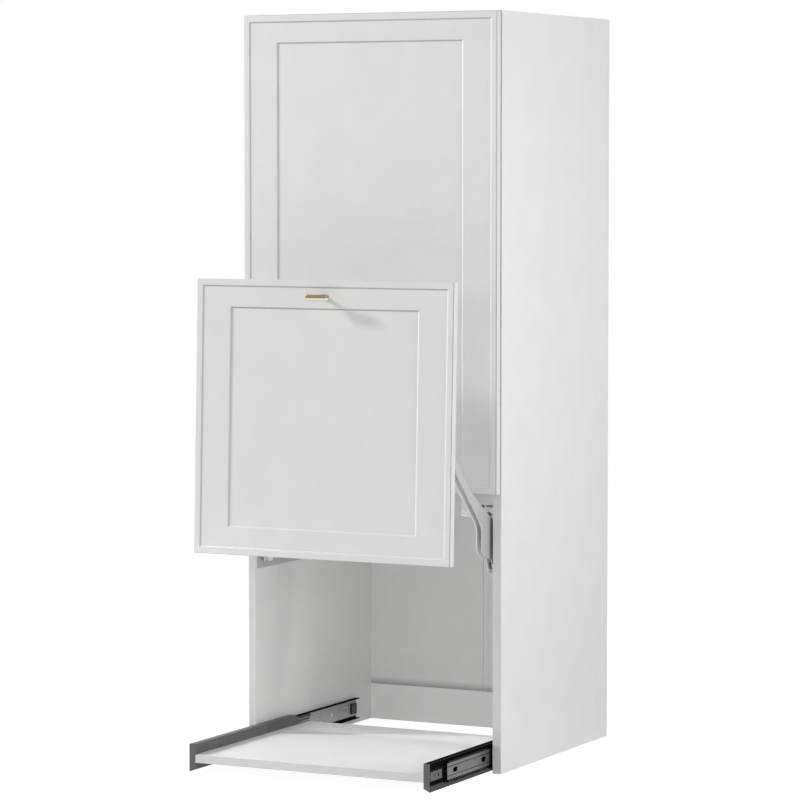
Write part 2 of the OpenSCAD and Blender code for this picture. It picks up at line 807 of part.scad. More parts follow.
module handle_screw() {
    color("silver") on_raised_door() translate([0, door_back_y, handle_z]) rotate([90, 0, 0]) union() {
        cylinder(r = screw_r, h = frame_t + screw_in);
        translate([0, 0, -screw_head_t]) cylinder(r = screw_head_r, h = screw_head_t);
    }
}

// A C-section along Y at the right side: d is the distance from the side panel
module c_section(y0, len, d0, d1, z0, h, web_at_d0) {
    x0 = inner_r - d1;
    x1 = inner_r - d0;
    web_x = web_at_d0 ? x1 - runner_t : x0;
    box([web_x, y0, z0], [web_x + runner_t, y0 + len, z0 + h]);
    box([x0, y0, z0], [x1, y0 + len, z0 + runner_t]);
    box([x0, y0, z0 + h - runner_t], [x1, y0 + len, z0 + h]);
}
cab_run_d = 11;
cab_run_mid = cab_run_z + cab_run_h / 2;
run_screw_y = [front_y + 60, front_y + 224, front_y + 345];
run_screw_r = 2;
run_screw_in = 12;
run_head_r = 3.6;
run_head_t = 1.2;
emboss_y = [front_y + 290, front_y + 409];
emboss_half = [14.5, 8];
emboss_line = [3, 2.5];
emboss_deep = 0.5;
module emboss_block(y, shrink, deep) {
    h = emboss_half - shrink;
    box([inner_r - runner_t - 1, y - h[0], cab_run_mid - h[1]],
        [inner_r - runner_t + deep, y + h[0], cab_run_mid + h[1]]);
}
module cabinet_runner() {
    color("dimgray") difference() {
        c_section(cab_run_y, rail_len, 0, cab_run_d, cab_run_z, cab_run_h, true);
        for (y = emboss_y) difference() {
            emboss_block(y, [0, 0], emboss_deep);
            emboss_block(y, emboss_line, 2 * emboss_deep);
        }
        for (y = run_screw_y) bar_x(inner_r - runner_t - 1, inner_r + 1, [y, cab_run_mid], run_screw_r);
    }
}
module cabinet_runner_right() { cabinet_runner(); }
module cabinet_runner_left() { on_left() cabinet_runner(); }

// Rubber stop at the rear end of the cabinet member
stop_len = 24;
stop_end = 2;
stop_h = 24;
stop_t = 3;
module runner_stop() {
    y1 = cab_run_y + rail_len - stop_end;
    box([inner_r - runner_t - stop_t, y1 - stop_len, cab_run_mid - stop_h / 2],
        [inner_r - runner_t, y1, cab_run_mid + stop_h / 2]);
}
module runner_stops() { color([0.1, 0.1, 0.1]) { runner_stop(); on_left() runner_stop(); } }

module runner_screws_one_side() {
    for (y = run_screw_y) {
        bar_x(inner_r - runner_t, inner_r + run_screw_in, [y, cab_run_mid], run_screw_r);
        bar_x(inner_r - runner_t - run_head_t, inner_r - runner_t, [y, cab_run_mid], run_head_r);
    }
}
module runner_screws() { color("silver") { runner_screws_one_side(); on_left() runner_screws_one_side(); } }

// Middle member with two oval holes, carrying the ball retainers in its flanges
mid_run_d0 = 5;
mid_run_d1 = 11;
inner_run_d0 = 8.5;
ball_gap = 0.1;
ball_in = 6;
ball_len = 190;
ball_side = 0.5;
outer_ball_h = mid_step - runner_t - ball_gap;
inner_ball_h = inner_step - runner_t - ball_gap;
oval_y = [mid_y + 37, mid_y + 172];
oval_r = 5;
oval_half = 5;
mid_groove_off = 9.5;
mid_groove_w = 1.2;
mid_groove_deep = 0.5;
module ball_strip(y, z, h, d0, d1) {
    box([inner_r - d1, y, z], [inner_r - d0, y + ball_len, z + h]);
}
module mid_runner() {
    mz = mid_run_z + mid_run_h / 2;
    color("gray") difference() {
        union() {
            c_section(mid_y, mid_len, mid_run_d0, mid_run_d1, mid_run_z, mid_run_h, true);
            for (y = [mid_y + ball_in, mid_y + mid_len - ball_in - ball_len])
                for (z = [mid_run_z - outer_ball_h, mid_run_z + mid_run_h])
                    ball_strip(y, z, outer_ball_h, mid_run_d0 + ball_side, mid_run_d1 - ball_side);
            for (z = [mid_run_z + runner_t, inner_run_z + inner_run_h + ball_gap])
                ball_strip(mid_y + ball_in, z, inner_ball_h, inner_run_d0, mid_run_d1);
        }
        for (z = [mz - mid_groove_off, mz + mid_groove_off])
            box([inner_r - mid_run_d0 - mid_groove_deep, mid_y - 1, z - mid_groove_w / 2],
                [inner_r, mid_y + mid_len + 1, z + mid_groove_w / 2]);
        for (y = oval_y) {
            for (k = [-oval_half, oval_half]) bar_x(inner_r - mid_run_d1, inner_r, [y + k, mz], oval_r);
            box([inner_r - mid_run_d1, y - oval_half, mz - oval_r], [inner_r, y + oval_half, mz + oval_r]);
        }
    }
}
module mid_runner_right() { mid_runner(); }
module mid_runner_left() { on_left() mid_runner(); }

module pull_out_shelf() {
    color("whitesmoke") difference() {
        box([inner_l + runner_w, shelf_y, pull_z], [inner_r - runner_w, shelf_y + pull_d, pull_z + pull_t]);
        board_screw_shapes(0);
        on_left() board_screw_shapes(0);
    }
}
board_screw_y = [shelf_y + 90, shelf_y + 200, shelf_y + 310, shelf_y + 420];
board_screw_in = 14;
board_screw_r = 2;
board_head_r = 3.4;
board_head_t = 1;
module board_screw_shapes(head_t) {
    x = inner_r - runner_w + 2 * runner_t;
    for (y = board_screw_y) {
        bar_x(inner_r - runner_w - board_screw_in, x, [y, pull_z + pull_t / 2], board_screw_r);
        if (head_t > 0) bar_x(x, x + head_t, [y, pull_z + pull_t / 2], board_head_r);
    }
}
module shelf_screws() {
    color("silver") { board_screw_shapes(board_head_t); on_left() board_screw_shapes(board_head_t); }
}

// Side bracket beside the board, with the drawer member inside and a plate over its front end.
// Its lower edge is folded inwards as a slope.
slope = [13, 6.5];
slope_t = runner_t * norm(slope) / slope[0];
slope_over = (slope_t - runner_t) * slope[0] / slope[1];
rear_cut = [21, 9];
inner_in = 5;
inner_len = 450;
module along_y(y0, y1) {
    translate([0, y1, 0]) rotate([90, 0, 0]) linear_extrude(y1 - y0) children();
}
module shelf_runner() {
    x0 = inner_r - runner_w;
    x1 = inner_r - wing_gap;
    y1 = shelf_y + wing_len;
    z0 = wing_z;
    z1 = wing_z + wing_h;
    color("dimgray") difference() {
        union() {
            difference() {
                union() {
                    c_section(shelf_y, wing_len, wing_gap, runner_w, z0, wing_h, false);
                    box([x0, shelf_y, z0], [x1, shelf_y + front_plate_t, z1]);
                }
                along_y(shelf_y - 1, y1 + 1)
                    polygon([[x0 - 1, z0 - 1], [x0 + slope[0] + slope[0] / slope[1], z0 - 1],
                        [x0 - 1, z0 + slope[1] + slope[1] / slope[0]]]);
            }
            along_y(shelf_y, y1)
                polygon([[x0, z0 + slope[1]], [x0 + slope[0], z0], [x0 + slope[0] + slope_over, z0],
                    [x0 + slope[0] + slope_over, z0 + runner_t], [x0, z0 + slope[1] + slope_t]]);
            c_section(shelf_y + inner_in, inner_len, inner_run_d0, runner_w - runner_t, inner_run_z,
                inner_run_h, false);
        }
        plate_yz(x0 - 1, x1 + 1)
            polygon([[y1 - rear_cut[0], z1 + 1], [y1 + 1, z1 + 1], [y1 + 1, z1 - rear_cut[1]]]);
        for (y = board_screw_y)
            bar_x(x0 - 1, x0 + 2 * runner_t + 1, [y, pull_z + pull_t / 2], board_screw_r);
    }
}
module shelf_runner_right() { shelf_runner(); }
module shelf_runner_left() { on_left() shelf_runner(); }

// Plastic block in the front end of the drawer member, with a blind hole and a slot
block_len = 62;
block_hole_r = 2.2;
block_hole_p = [26, 1];
block_slot = [44, 48];
block_slot_h = 8;
block_cut = 2;
module runner_end_block() {
    z0 = inner_run_z + runner_t;
    z1 = inner_run_z + inner_run_h - runner_t;
    mz = (z0 + z1) / 2;
    x0 = inner_r - runner_w + 2 * runner_t;
    x1 = inner_r - inner_run_d0;
    y0 = shelf_y + inner_in;
    difference() {
        box([x0, y0, z0], [x1, y0 + block_len, z1]);
        bar_x(x1 - block_cut, x1 + 1, [y0 + block_hole_p[0], mz + block_hole_p[1]], block_hole_r);
        box([x1 - block_cut, y0 + block_slot[0], mz - block_slot_h / 2],
            [x1 + 1, y0 + block_slot[1], mz + block_slot_h / 2]);
    }
}
module runner_end_blocks() { color([0.15, 0.15, 0.15]) { runner_end_block(); on_left() runner_end_block(); } }

left_side_panel();
right_side_panel();
top_panel();
divider_panel();
back_panel_left();
back_panel_right();
back_joint_strip();
rear_rail();
inner_shelf_low();
inner_shelf_mid();
inner_shelf_high();
shelf_pins();
cam_locks();
cam_bolts();
wall_bracket_left();
wall_bracket_right();
hinge_plates();
hinge_arms();
upper_door();
hinge_cups();
hinge_pins();
upper_door_pads();
lift_plate_right();
lift_plate_left();
lift_cover_right();
lift_cover_left();
lift_spring_right();
lift_spring_left();
lift_nose_right();
lift_nose_left();
lift_damper_right();
lift_damper_left();
fixed_pivot_pins();
main_arm_right();
main_arm_left();
arm_roller_right();
arm_roller_left();
follower_arm_right();
follower_arm_left();
lift_door();
door_bracket_right();
door_bracket_left();
door_pivot_pins();
bracket_screws();
handle_bar();
handle_stem();
handle_screw();
lift_door_pads();
cabinet_runner_right();
cabinet_runner_left();
runner_stops();
runner_screws();
mid_runner_right();
mid_runner_left();
pull_out_shelf();
shelf_runner_right();
shelf_runner_left();
runner_end_blocks();
shelf_screws();
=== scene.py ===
"""A tall kitchen cabinet with a raised lift door and a pulled-out shelf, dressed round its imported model.

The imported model's frame has +Z up, +Y to the wall and the doors facing -Y, and its origin is the centre
of the rear rail's underside. Sizes are in millimetres here and become metres where Blender takes them.
"""

import json
import logging
import math
from dataclasses import dataclass, field, replace
from enum import Enum
from typing import Iterable, Mapping, Sequence

import bmesh
import bpy
from mathutils import Matrix, Vector

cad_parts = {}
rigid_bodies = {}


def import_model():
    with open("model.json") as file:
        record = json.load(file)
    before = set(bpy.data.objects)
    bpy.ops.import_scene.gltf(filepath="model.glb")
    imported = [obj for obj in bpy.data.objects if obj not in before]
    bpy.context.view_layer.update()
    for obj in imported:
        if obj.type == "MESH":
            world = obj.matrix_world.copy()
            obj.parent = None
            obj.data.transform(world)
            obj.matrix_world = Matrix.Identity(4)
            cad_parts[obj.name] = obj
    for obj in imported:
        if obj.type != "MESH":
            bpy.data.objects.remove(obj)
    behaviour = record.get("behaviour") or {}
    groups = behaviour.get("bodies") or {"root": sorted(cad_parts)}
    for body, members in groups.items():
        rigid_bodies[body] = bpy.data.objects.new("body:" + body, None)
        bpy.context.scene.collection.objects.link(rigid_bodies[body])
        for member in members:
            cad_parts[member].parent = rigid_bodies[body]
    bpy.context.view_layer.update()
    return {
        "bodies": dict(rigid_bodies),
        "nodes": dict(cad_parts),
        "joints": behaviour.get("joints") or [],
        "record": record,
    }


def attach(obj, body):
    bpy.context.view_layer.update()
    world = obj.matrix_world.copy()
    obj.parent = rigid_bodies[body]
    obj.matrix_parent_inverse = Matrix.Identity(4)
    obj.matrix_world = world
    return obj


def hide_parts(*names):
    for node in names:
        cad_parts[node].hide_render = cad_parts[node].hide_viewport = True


log = logging.getLogger("cabinet")
MM = 0.001
Point = tuple[float, float, float]
Colour = tuple[float, float, float]
Input = bpy.types.NodeSocket | float | Sequence[float]

# Rounded edges: the least angle in degrees that is rounded, and the segments
SHARP = 35.0
EDGE_SEGMENTS = 2

# Distances in metres within which vertices are merged, on CAD nodes and on new pieces
CAD_MERGE = 1e-6
PIECE_MERGE = 1e-7

# Weights of X, Y and Z that rank the balls' faces, which the sphere operator orders anew each run
FACE_RANK = Vector((1.0, 1000.0, 31.0))

# The noise that every finish varies by: its detail, and the scale of its broad part
FINE_DETAIL = 3.0
BROAD_DETAIL = 2.0
BROAD_SCALE = 0.035
FINE_SHARE = 0.5

# Noise levels of the darkest and the palest colour, and how far the roughness swings
NOISE_ENDS = (0.3, 0.7)
ROUGH_SWING = 0.1
BUMP_STRENGTH = 0.35
COAT_ROUGHNESS = 0.25
WHITE_LIGHT = (1.0, 1.0, 1.0, 1.0)


class Axis(Enum):
    """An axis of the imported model's frame."""

    X = 0
    Y = 1
    Z = 2


class Side(Enum):
    """A side of the cabinet, seen from its front."""

    RIGHT = "right"
    LEFT = "left"


class Pattern(Enum):
    """How densely a finish's noise lies along X, Y and Z: the lower the number, the more drawn out."""

    EVEN = (1.0, 1.0, 1.0)
    DRAWN = (1.0, 0.35, 1.0)
    BRUSHED = (0.06, 1.0, 1.0)


class Measure(Enum):
    """What a tone is placed by, as Texture Coordinate names it."""

    PLACE = "Object"
    FACING = "Normal"


@dataclass(frozen=True)
class Sizes:
    """The source's driving sizes that the scene needs, in millimetres and degrees.

    Attributes:
        width: Width of the carcass.
        height: Its height.
        depth: From its front to the back of the rear rail.
        left_t: Thickness of the left side panel.
        right_t: Thickness of the right side panel.
        rail_t: Thickness of the rear rail.
        rail_h: Height of the rear rail, on which the back panels stand.
        joint_x: X of the joint between the back panels.
        strip_half: Half the width of their joint strip.
        door_t: Thickness of both doors.
        door_half: Half their width.
        door_gap: Gap between the carcass front and a closed door.
        lip_step: How far a door's frame lies behind its lip.
        divider_top: Height of the divider's upper face.
        door_lap: From there up to the upper door's foot.
        doors_gap: Gap between the closed doors.
        top_gap: From the upper door's top to the carcass top.
        lift_door_h: Height of the lift door.
        lean: How far the raised lift door leans out at its foot.
        pivot: The main arm's pivot, back from the carcass front and up.
        arm_len: Distance between the main arm's pivots.
        arm_closed: Its angle from straight down with the door closed.
        arm_open: Its angle with the door raised.
        pivot_pitch: From a pivot of the main arm to the follower arm's.
        pivot_dir: Angle of that step from straight down.
        handle_drop: From the lift door's top to the middle of its handle.
        runner_z: Height of the runners' middle.
    """

    width: float = 600.0
    height: float = 1586.0
    depth: float = 555.0
    left_t: float = 16.0
    right_t: float = 19.0
    rail_t: float = 12.0
    rail_h: float = 81.0
    joint_x: float = 14.0
    strip_half: float = 13.0
    door_t: float = 17.0
    door_half: float = 298.0
    door_gap: float = 2.0
    lip_step: float = 1.8
    divider_top: float = 585.0
    door_lap: float = 1.0
    doors_gap: float = 3.0
    top_gap: float = 2.0
    lift_door_h: float = 574.0
    lean: float = 1.95
    pivot: tuple[float, float] = (51.0, 508.6)
    arm_len: float = 285.0
    arm_closed: float = 4.2
    arm_open: float = 125.0
    pivot_pitch: float = 31.0
    pivot_dir: float = 155.0
    handle_drop: float = 35.0
    runner_z: float = 35.0

    @property
    def front(self) -> float:
        """Y of the carcass front."""
        return self.rail_t / 2 - self.depth

    @property
    def door_back(self) -> float:
        """Y of a closed door's rear face."""
        return self.front - self.door_gap

    @property
    def inner_left(self) -> float:
        """X of the left side panel's inner face."""
        return -self.width / 2 + self.left_t

    @property
    def inner_right(self) -> float:
        """X of the right side panel's inner face."""
        return self.width / 2 - self.right_t

    @property
    def upper_door_low(self) -> float:
        """Height of the upper door's foot."""
        return self.divider_top + self.door_lap

    @property
    def lift_door_high(self) -> float:
        """Height of the closed lift door's top."""
        return self.upper_door_low - self.doors_gap

    def off_panel(self, side: Side, distance: float) -> float:
        """X at a distance inwards from a side panel's inner face."""
        return self.inner_right - distance if side is Side.RIGHT else self.inner_left + distance

    def arm_end(self, angle: float) -> tuple[float, float]:
        """Y and Z of the main arm's door pivot at an angle from straight down."""
        turn = math.radians(angle)
        return (self.front + self.pivot[0] - self.arm_len * math.sin(turn),
                self.pivot[1] - self.arm_len * math.cos(turn))

    def raise_matrix(self) -> Matrix:
        """Carries what is drawn on the closed lift door to its raised place.

        Returns:
            A 4x4 matrix in metres.
        """
        shut = Vector((0, *self.arm_end(self.arm_closed))) * MM
        up = Vector((0, *self.arm_end(self.arm_open))) * MM
        lean = Matrix.Rotation(math.radians(-self.lean), 4, "X")
        return Matrix.Translation(up) @ lean @ Matrix.Translation(-shut)


SIZES = Sizes()


@dataclass
class Wiring:
    """Adds nodes to one node tree and joins them up.

    Attributes:
        tree: The node tree of a material or a world.
    """

    tree: bpy.types.NodeTree

    def feed(self, node: bpy.types.Node, inputs: Mapping[str | int, Input]) -> None:
        """Links or sets some inputs of a node.

        Args:
            node: The node.
            inputs: Its inputs by name or number, each a socket to link or a value.
        """
        for key, value in inputs.items():
            if isinstance(value, bpy.types.NodeSocket):
                self.tree.links.new(value, node.inputs[key])
            else:
                node.inputs[key].default_value = value

    def add(self, kind: str, inputs: Mapping[str | int, Input], **settings: str | bool) -> bpy.types.Node:
        """Adds a node.

        Args:
            kind: Its type.
            inputs: Its inputs by name or number, each a socket to link or a value.
            settings: Its own settings, which come before its inputs.

        Returns:
            The node.
        """
        node = self.tree.nodes.new(kind)
        for name, setting in settings.items():
            setattr(node, name, setting)
        self.feed(node, inputs)
        return node

    def calc(self, operation: str, *values: Input, clamp: bool = False) -> bpy.types.NodeSocket:
        """Adds a Math node.

        Args:
            operation: Its operation.
            values: Its inputs in order.
            clamp: Whether its result is held between 0 and 1.

        Returns:
            Its result.
        """
        node = self.add("ShaderNodeMath", dict(enumerate(values)), operation=operation, use_clamp=clamp)
        return node.outputs["Value"]

    def noise(self, vector: bpy.types.NodeSocket, scale: float, detail: float) -> bpy.types.NodeSocket:
        """Adds a noise texture.

        Args:
            vector: The coordinates that it reads.
            scale: Its scale per metre.
            detail: Its detail.

        Returns:
            Its level.
        """
        node = self.add("ShaderNodeTexNoise", {"Vector": vector, "Scale": scale, "Detail": detail})
        return node.outputs["Fac"]

    def seen(self) -> bpy.types.NodeSocket:
        """Adds a factor of 1 for camera, glossy and transmission rays and 0 for all others.

        Returns:
            The factor.
        """
        path = self.add("ShaderNodeLightPath", {})
        total = path.outputs["Is Camera Ray"]
        for ray in ("Is Glossy Ray", "Is Transmission Ray"):
            total = self.calc("MAXIMUM", total, path.outputs[ray])
        return total


@dataclass(frozen=True)
class Tone:
    """Painted light and shade: a second colour on part of a surface, standing in for how light falls there.

    Attributes:
        colour: Its colour, linear red, green and blue.
        measure: Whether it goes by the place on the piece or by the way that a face looks.
        axis: The axis that is measured.
        start: Where the tone begins, in millimetres of place or as a normal's share along the axis.
        end: Where the tone is full.
        centre: What the distance is measured from; None for the plain value.
        dull: Whether the tone also takes away the metal and the gloss.
    """

    colour: Colour
    measure: Measure
    axis: Axis
    start: float
    end: float
    centre: float | None = None
    dull: bool = False

    def share(self, wiring: Wiring, coords: bpy.types.Node) -> bpy.types.NodeSocket:
        """Adds the nodes that say where the tone lies.

        Args:
            wiring: The material's wiring.
            coords: Its Texture Coordinate node.

        Returns:
            A socket that runs from 0 outside the tone to 1 inside it.
        """
        unit = MM if self.measure is Measure.PLACE else 1.0
        split = wiring.add("ShaderNodeSeparateXYZ", {"Vector": coords.outputs[self.measure.value]})
        value = split.outputs[self.axis.value]
        if self.centre is not None:
            value = wiring.calc("ABSOLUTE", wiring.calc("ADD", value, -self.centre * unit))
        ends = {"Value": value, "From Min": self.start * unit, "From Max": self.end * unit}
        return wiring.add("ShaderNodeMapRange", ends).outputs["Result"]


@dataclass(frozen=True)
class Finish:
    """One surface finish.

    Attributes:
        slot: The record's material slot that it belongs to; not used.
        colour: Base colour, linear red, green and blue.
        roughness: Mean roughness.
        pattern: How the noise is drawn out.
        metallic: 1 for bare metal, else 0.
        spread: Share by which the colour varies.
        grain: Scale of the fine noise per metre.
        relief: Height of the bump in millimetres.
        coat: Weight of a clear coat.
        gloss: Specular level of the surface below the coat.
        tones: Painted light and shade, as second colours on parts of the surface.
    """

    slot: str
    colour: Colour
    roughness: float
    pattern: Pattern = Pattern.EVEN
    metallic: float = 0.0
    spread: float = 0.03
    grain: float = 400.0
    relief: float = 0.02
    coat: float = 0.0
    gloss: float = 0.5
    tones: tuple[Tone, ...] = ()

    def material(self, name: str) -> bpy.types.Material:
        """Builds the node material.

        Args:
            name: Name of the new material.

        Returns:
            A material that reads Object coordinates.
        """
        mat = bpy.data.materials.new(name)
        mat.use_nodes = True
        shader = mat.node_tree.nodes["Principled BSDF"]
        wiring = Wiring(mat.node_tree)
        coords = wiring.add("ShaderNodeTexCoord", {})
        spaced = {"Vector": coords.outputs["Object"], "Scale": self.pattern.value}
        drawn = wiring.add("ShaderNodeMapping", spaced).outputs["Vector"]
        fine = wiring.noise(drawn, self.grain, FINE_DETAIL)
        broad = wiring.noise(drawn, self.grain * BROAD_SCALE, BROAD_DETAIL)
        level = wiring.add("ShaderNodeMix", {"Factor": FINE_SHARE, "A": fine, "B": broad}).outputs["Result"]
        wiring.feed(shader, {"Metallic": self.metallic, "Specular IOR Level": self.gloss,
                             "Coat Weight": self.coat, "Coat Roughness": COAT_ROUGHNESS})
        self.paint(wiring, shader, coords, level)
        self.texture(wiring, shader, fine, level)
        return mat

    def paint(self, wiring: Wiring, shader: bpy.types.Node, coords: bpy.types.Node,
              level: bpy.types.NodeSocket) -> None:
        """Links the varied base colour and its tones of painted light and shade.

        Args:
            wiring: The material's wiring.
            shader: Its shader.
            coords: Its Texture Coordinate node.
            level: The noise that the colour follows.
        """
        ramp = wiring.add("ShaderNodeValToRGB", {"Fac": level})
        shares = (1 - self.spread, 1 + self.spread)
        for stop, place, share in zip(ramp.color_ramp.elements, NOISE_ENDS, shares):
            stop.position = place
            stop.color = (*(min(1.0, part * share) for part in self.colour), 1.0)
        colour = ramp.outputs["Color"]
        kept: Input = 1.0
        for tone in self.tones:
            share = tone.share(wiring, coords)
            sides = {"Factor": share, "A": colour, "B": (*tone.colour, 1.0)}
            colour = wiring.add("ShaderNodeMix", sides, data_type="RGBA").outputs["Result"]
            if tone.dull:
                kept = wiring.calc("SUBTRACT", kept, share, clamp=True)
        wiring.feed(shader, {"Base Color": colour})
        if any(tone.dull for tone in self.tones):
            for socket, full in (("Metallic", self.metallic), ("Specular IOR Level", self.gloss)):
                if full > 0:
                    wiring.feed(shader, {socket: wiring.calc("MULTIPLY", kept, full)})

    def texture(self, wiring: Wiring, shader: bpy.types.Node, fine: bpy.types.NodeSocket,
                level: bpy.types.NodeSocket) -> None:
        """Links the varied roughness and the bump.

        Args:
            wiring: The material's wiring.
            shader: Its shader.
            fine: The noise that the bump follows.
            level: The noise that the roughness follows.
        """
        swing = {"Value": level, "To Min": self.roughness * (1 - ROUGH_SWING),
                 "To Max": min(1.0, self.roughness * (1 + ROUGH_SWING))}
        rough = wiring.add("ShaderNodeMapRange", swing)
        relief = {"Strength": BUMP_STRENGTH, "Distance": self.relief * MM, "Height": fine}
        bump = wiring.add("ShaderNodeBump", relief)
        wiring.feed(shader, {"Roughness": rough.outputs["Result"], "Normal": bump.outputs["Normal"]})


def shade_off_panels(colour: Colour, start: float, end: float, dull: bool = False) -> Tone:
    """A tone of painted shade that is alike on both sides of the cabinet.

    Args:
        colour: Its colour.
        start: Distance from the side panel's inner face where the tone begins.
        end: Distance where it is full.
        dull: Whether it also takes away the metal and the gloss.

    Returns:
        The tone.
    """
    middle = (SIZES.inner_left + SIZES.inner_right) / 2
    half = SIZES.inner_right - middle
    return Tone(colour, Measure.PLACE, Axis.X, half - start, half - end, middle, dull)


def step_light(colour: Colour, axis: Axis, way: int) -> Tone:
    """A tone of painted light on the steps of the doors' faces that look one way along an axis."""
    return Tone(colour, Measure.FACING, axis, *STEP_RANGE, STEP_TURN * way)


# A door step's normal has about this share along its axis, and its tone begins and is full this far off
STEP_TURN = 0.55
STEP_RANGE = (0.30, 0.18)

# Black serves the stops' own plastic and painted shade; the pale grey is a painted highlight
BLACK: Colour = (0.012, 0.012, 0.012)
LINE_HIGHLIGHT: Colour = (0.36, 0.36, 0.36)

# Shade on the back panels, over the rear rail and beside the joint strip
OVER_RAIL = Tone((0.42, 0.42, 0.42), Measure.PLACE, Axis.Z, SIZES.rail_h + 17.0, SIZES.rail_h)
BESIDE_STRIP = Tone((0.25, 0.25, 0.25), Measure.PLACE, Axis.X, SIZES.strip_half + 1.8,
                    SIZES.strip_half + 1.2, SIZES.joint_x)

# Painted shade on the front edges of the boards and of the pull-out shelf
BOARD_FRONT_SHADE = Tone((0.74, 0.74, 0.737), Measure.FACING, Axis.Y, -0.5, -0.8)
SHELF_FRONT_SHADE = Tone((0.70, 0.70, 0.697), Measure.FACING, Axis.Y, -0.5, -0.8)

# Painted light on the doors: shade on the steps of their faces that look down and to the right, a highlight
# on those that look to the left, and shade along their right edge and on their right side
STEP_DOWN_SHADE = step_light((0.48, 0.48, 0.479), Axis.Z, -1)
STEP_RIGHT_SHADE = step_light((0.60, 0.60, 0.598), Axis.X, 1)
STEP_LEFT_HIGHLIGHT = step_light((0.97, 0.97, 0.967), Axis.X, -1)
DOOR_EDGE_SHADE = Tone((0.50, 0.50, 0.499), Measure.PLACE, Axis.X, SIZES.door_half - 2.5, SIZES.door_half - 2.2)
DOOR_SIDE_SHADE = Tone((0.80, 0.80, 0.797), Measure.FACING, Axis.X, 0.75, 0.85)

# Painted shade on the lift fitting's sheet metal close to the side panel, and a pale painted reflection on
# the raised bar's lower half
ARM_FLAT_SHADE = shade_off_panels((0.50, 0.50, 0.50), 8.9, 8.3)
BAR_UNDER_REFLECTION = Tone((0.80, 0.73, 0.58), Measure.PLACE, Axis.Z, 997.0, 996.4)

# Painted shade inside the right bracket beside the board: on its inner wall and on the faces that look up
WING_INSIDE_SHADE = Tone(BLACK, Measure.FACING, Axis.X, 0.6, 0.8, dull=True)
WING_TOP_SHADE = Tone(BLACK, Measure.FACING, Axis.Z, 0.93, 0.97, dull=True)

# Painted shade in the depth of the holes in the right middle member and in the end blocks
MEMBER_HOLE_SHADE = shade_off_panels(BLACK, 5.15, 5.35, dull=True)
BLOCK_HOLE_SHADE = shade_off_panels(BLACK, 8.60, 8.75)

# Painted light in bands along the runners, above and below their middle: highlights and shade on the left
# middle member's pressed lines, and shade where the ball cages and the ball races lie
PRESSED_LINE_LIGHT = tuple(Tone(colour, Measure.PLACE, Axis.Z, reach + 0.2, reach, SIZES.runner_z)
                     for colour, reach in ((LINE_HIGHLIGHT, 14.0), (BLACK, 12.0), (LINE_HIGHLIGHT, 8.0), (BLACK, 5.0)))
CAGE_SHADE = Tone(BLACK, Measure.PLACE, Axis.Z, 17.0, 17.2, SIZES.runner_z, dull=True)
TOP_RACE_SHADE = Tone(BLACK, Measure.PLACE, Axis.Z, SIZES.runner_z + 20.0, SIZES.runner_z + 20.5, dull=True)
LOW_RACE_SHADE = Tone(BLACK, Measure.PLACE, Axis.Z, SIZES.runner_z - 17.0, SIZES.runner_z - 17.5, dull=True)

PAINT = Finish("carcass_white", (0.87, 0.87, 0.866), roughness=0.42, coat=0.08)
STEEL = Finish("runner_steel", (0.30, 0.305, 0.31), roughness=0.36, pattern=Pattern.DRAWN, metallic=1.0,
               spread=0.10, grain=300.0)
WING = Finish("runner_grey", (0.135, 0.137, 0.140), roughness=0.45, spread=0.08, grain=900.0, gloss=0.2)

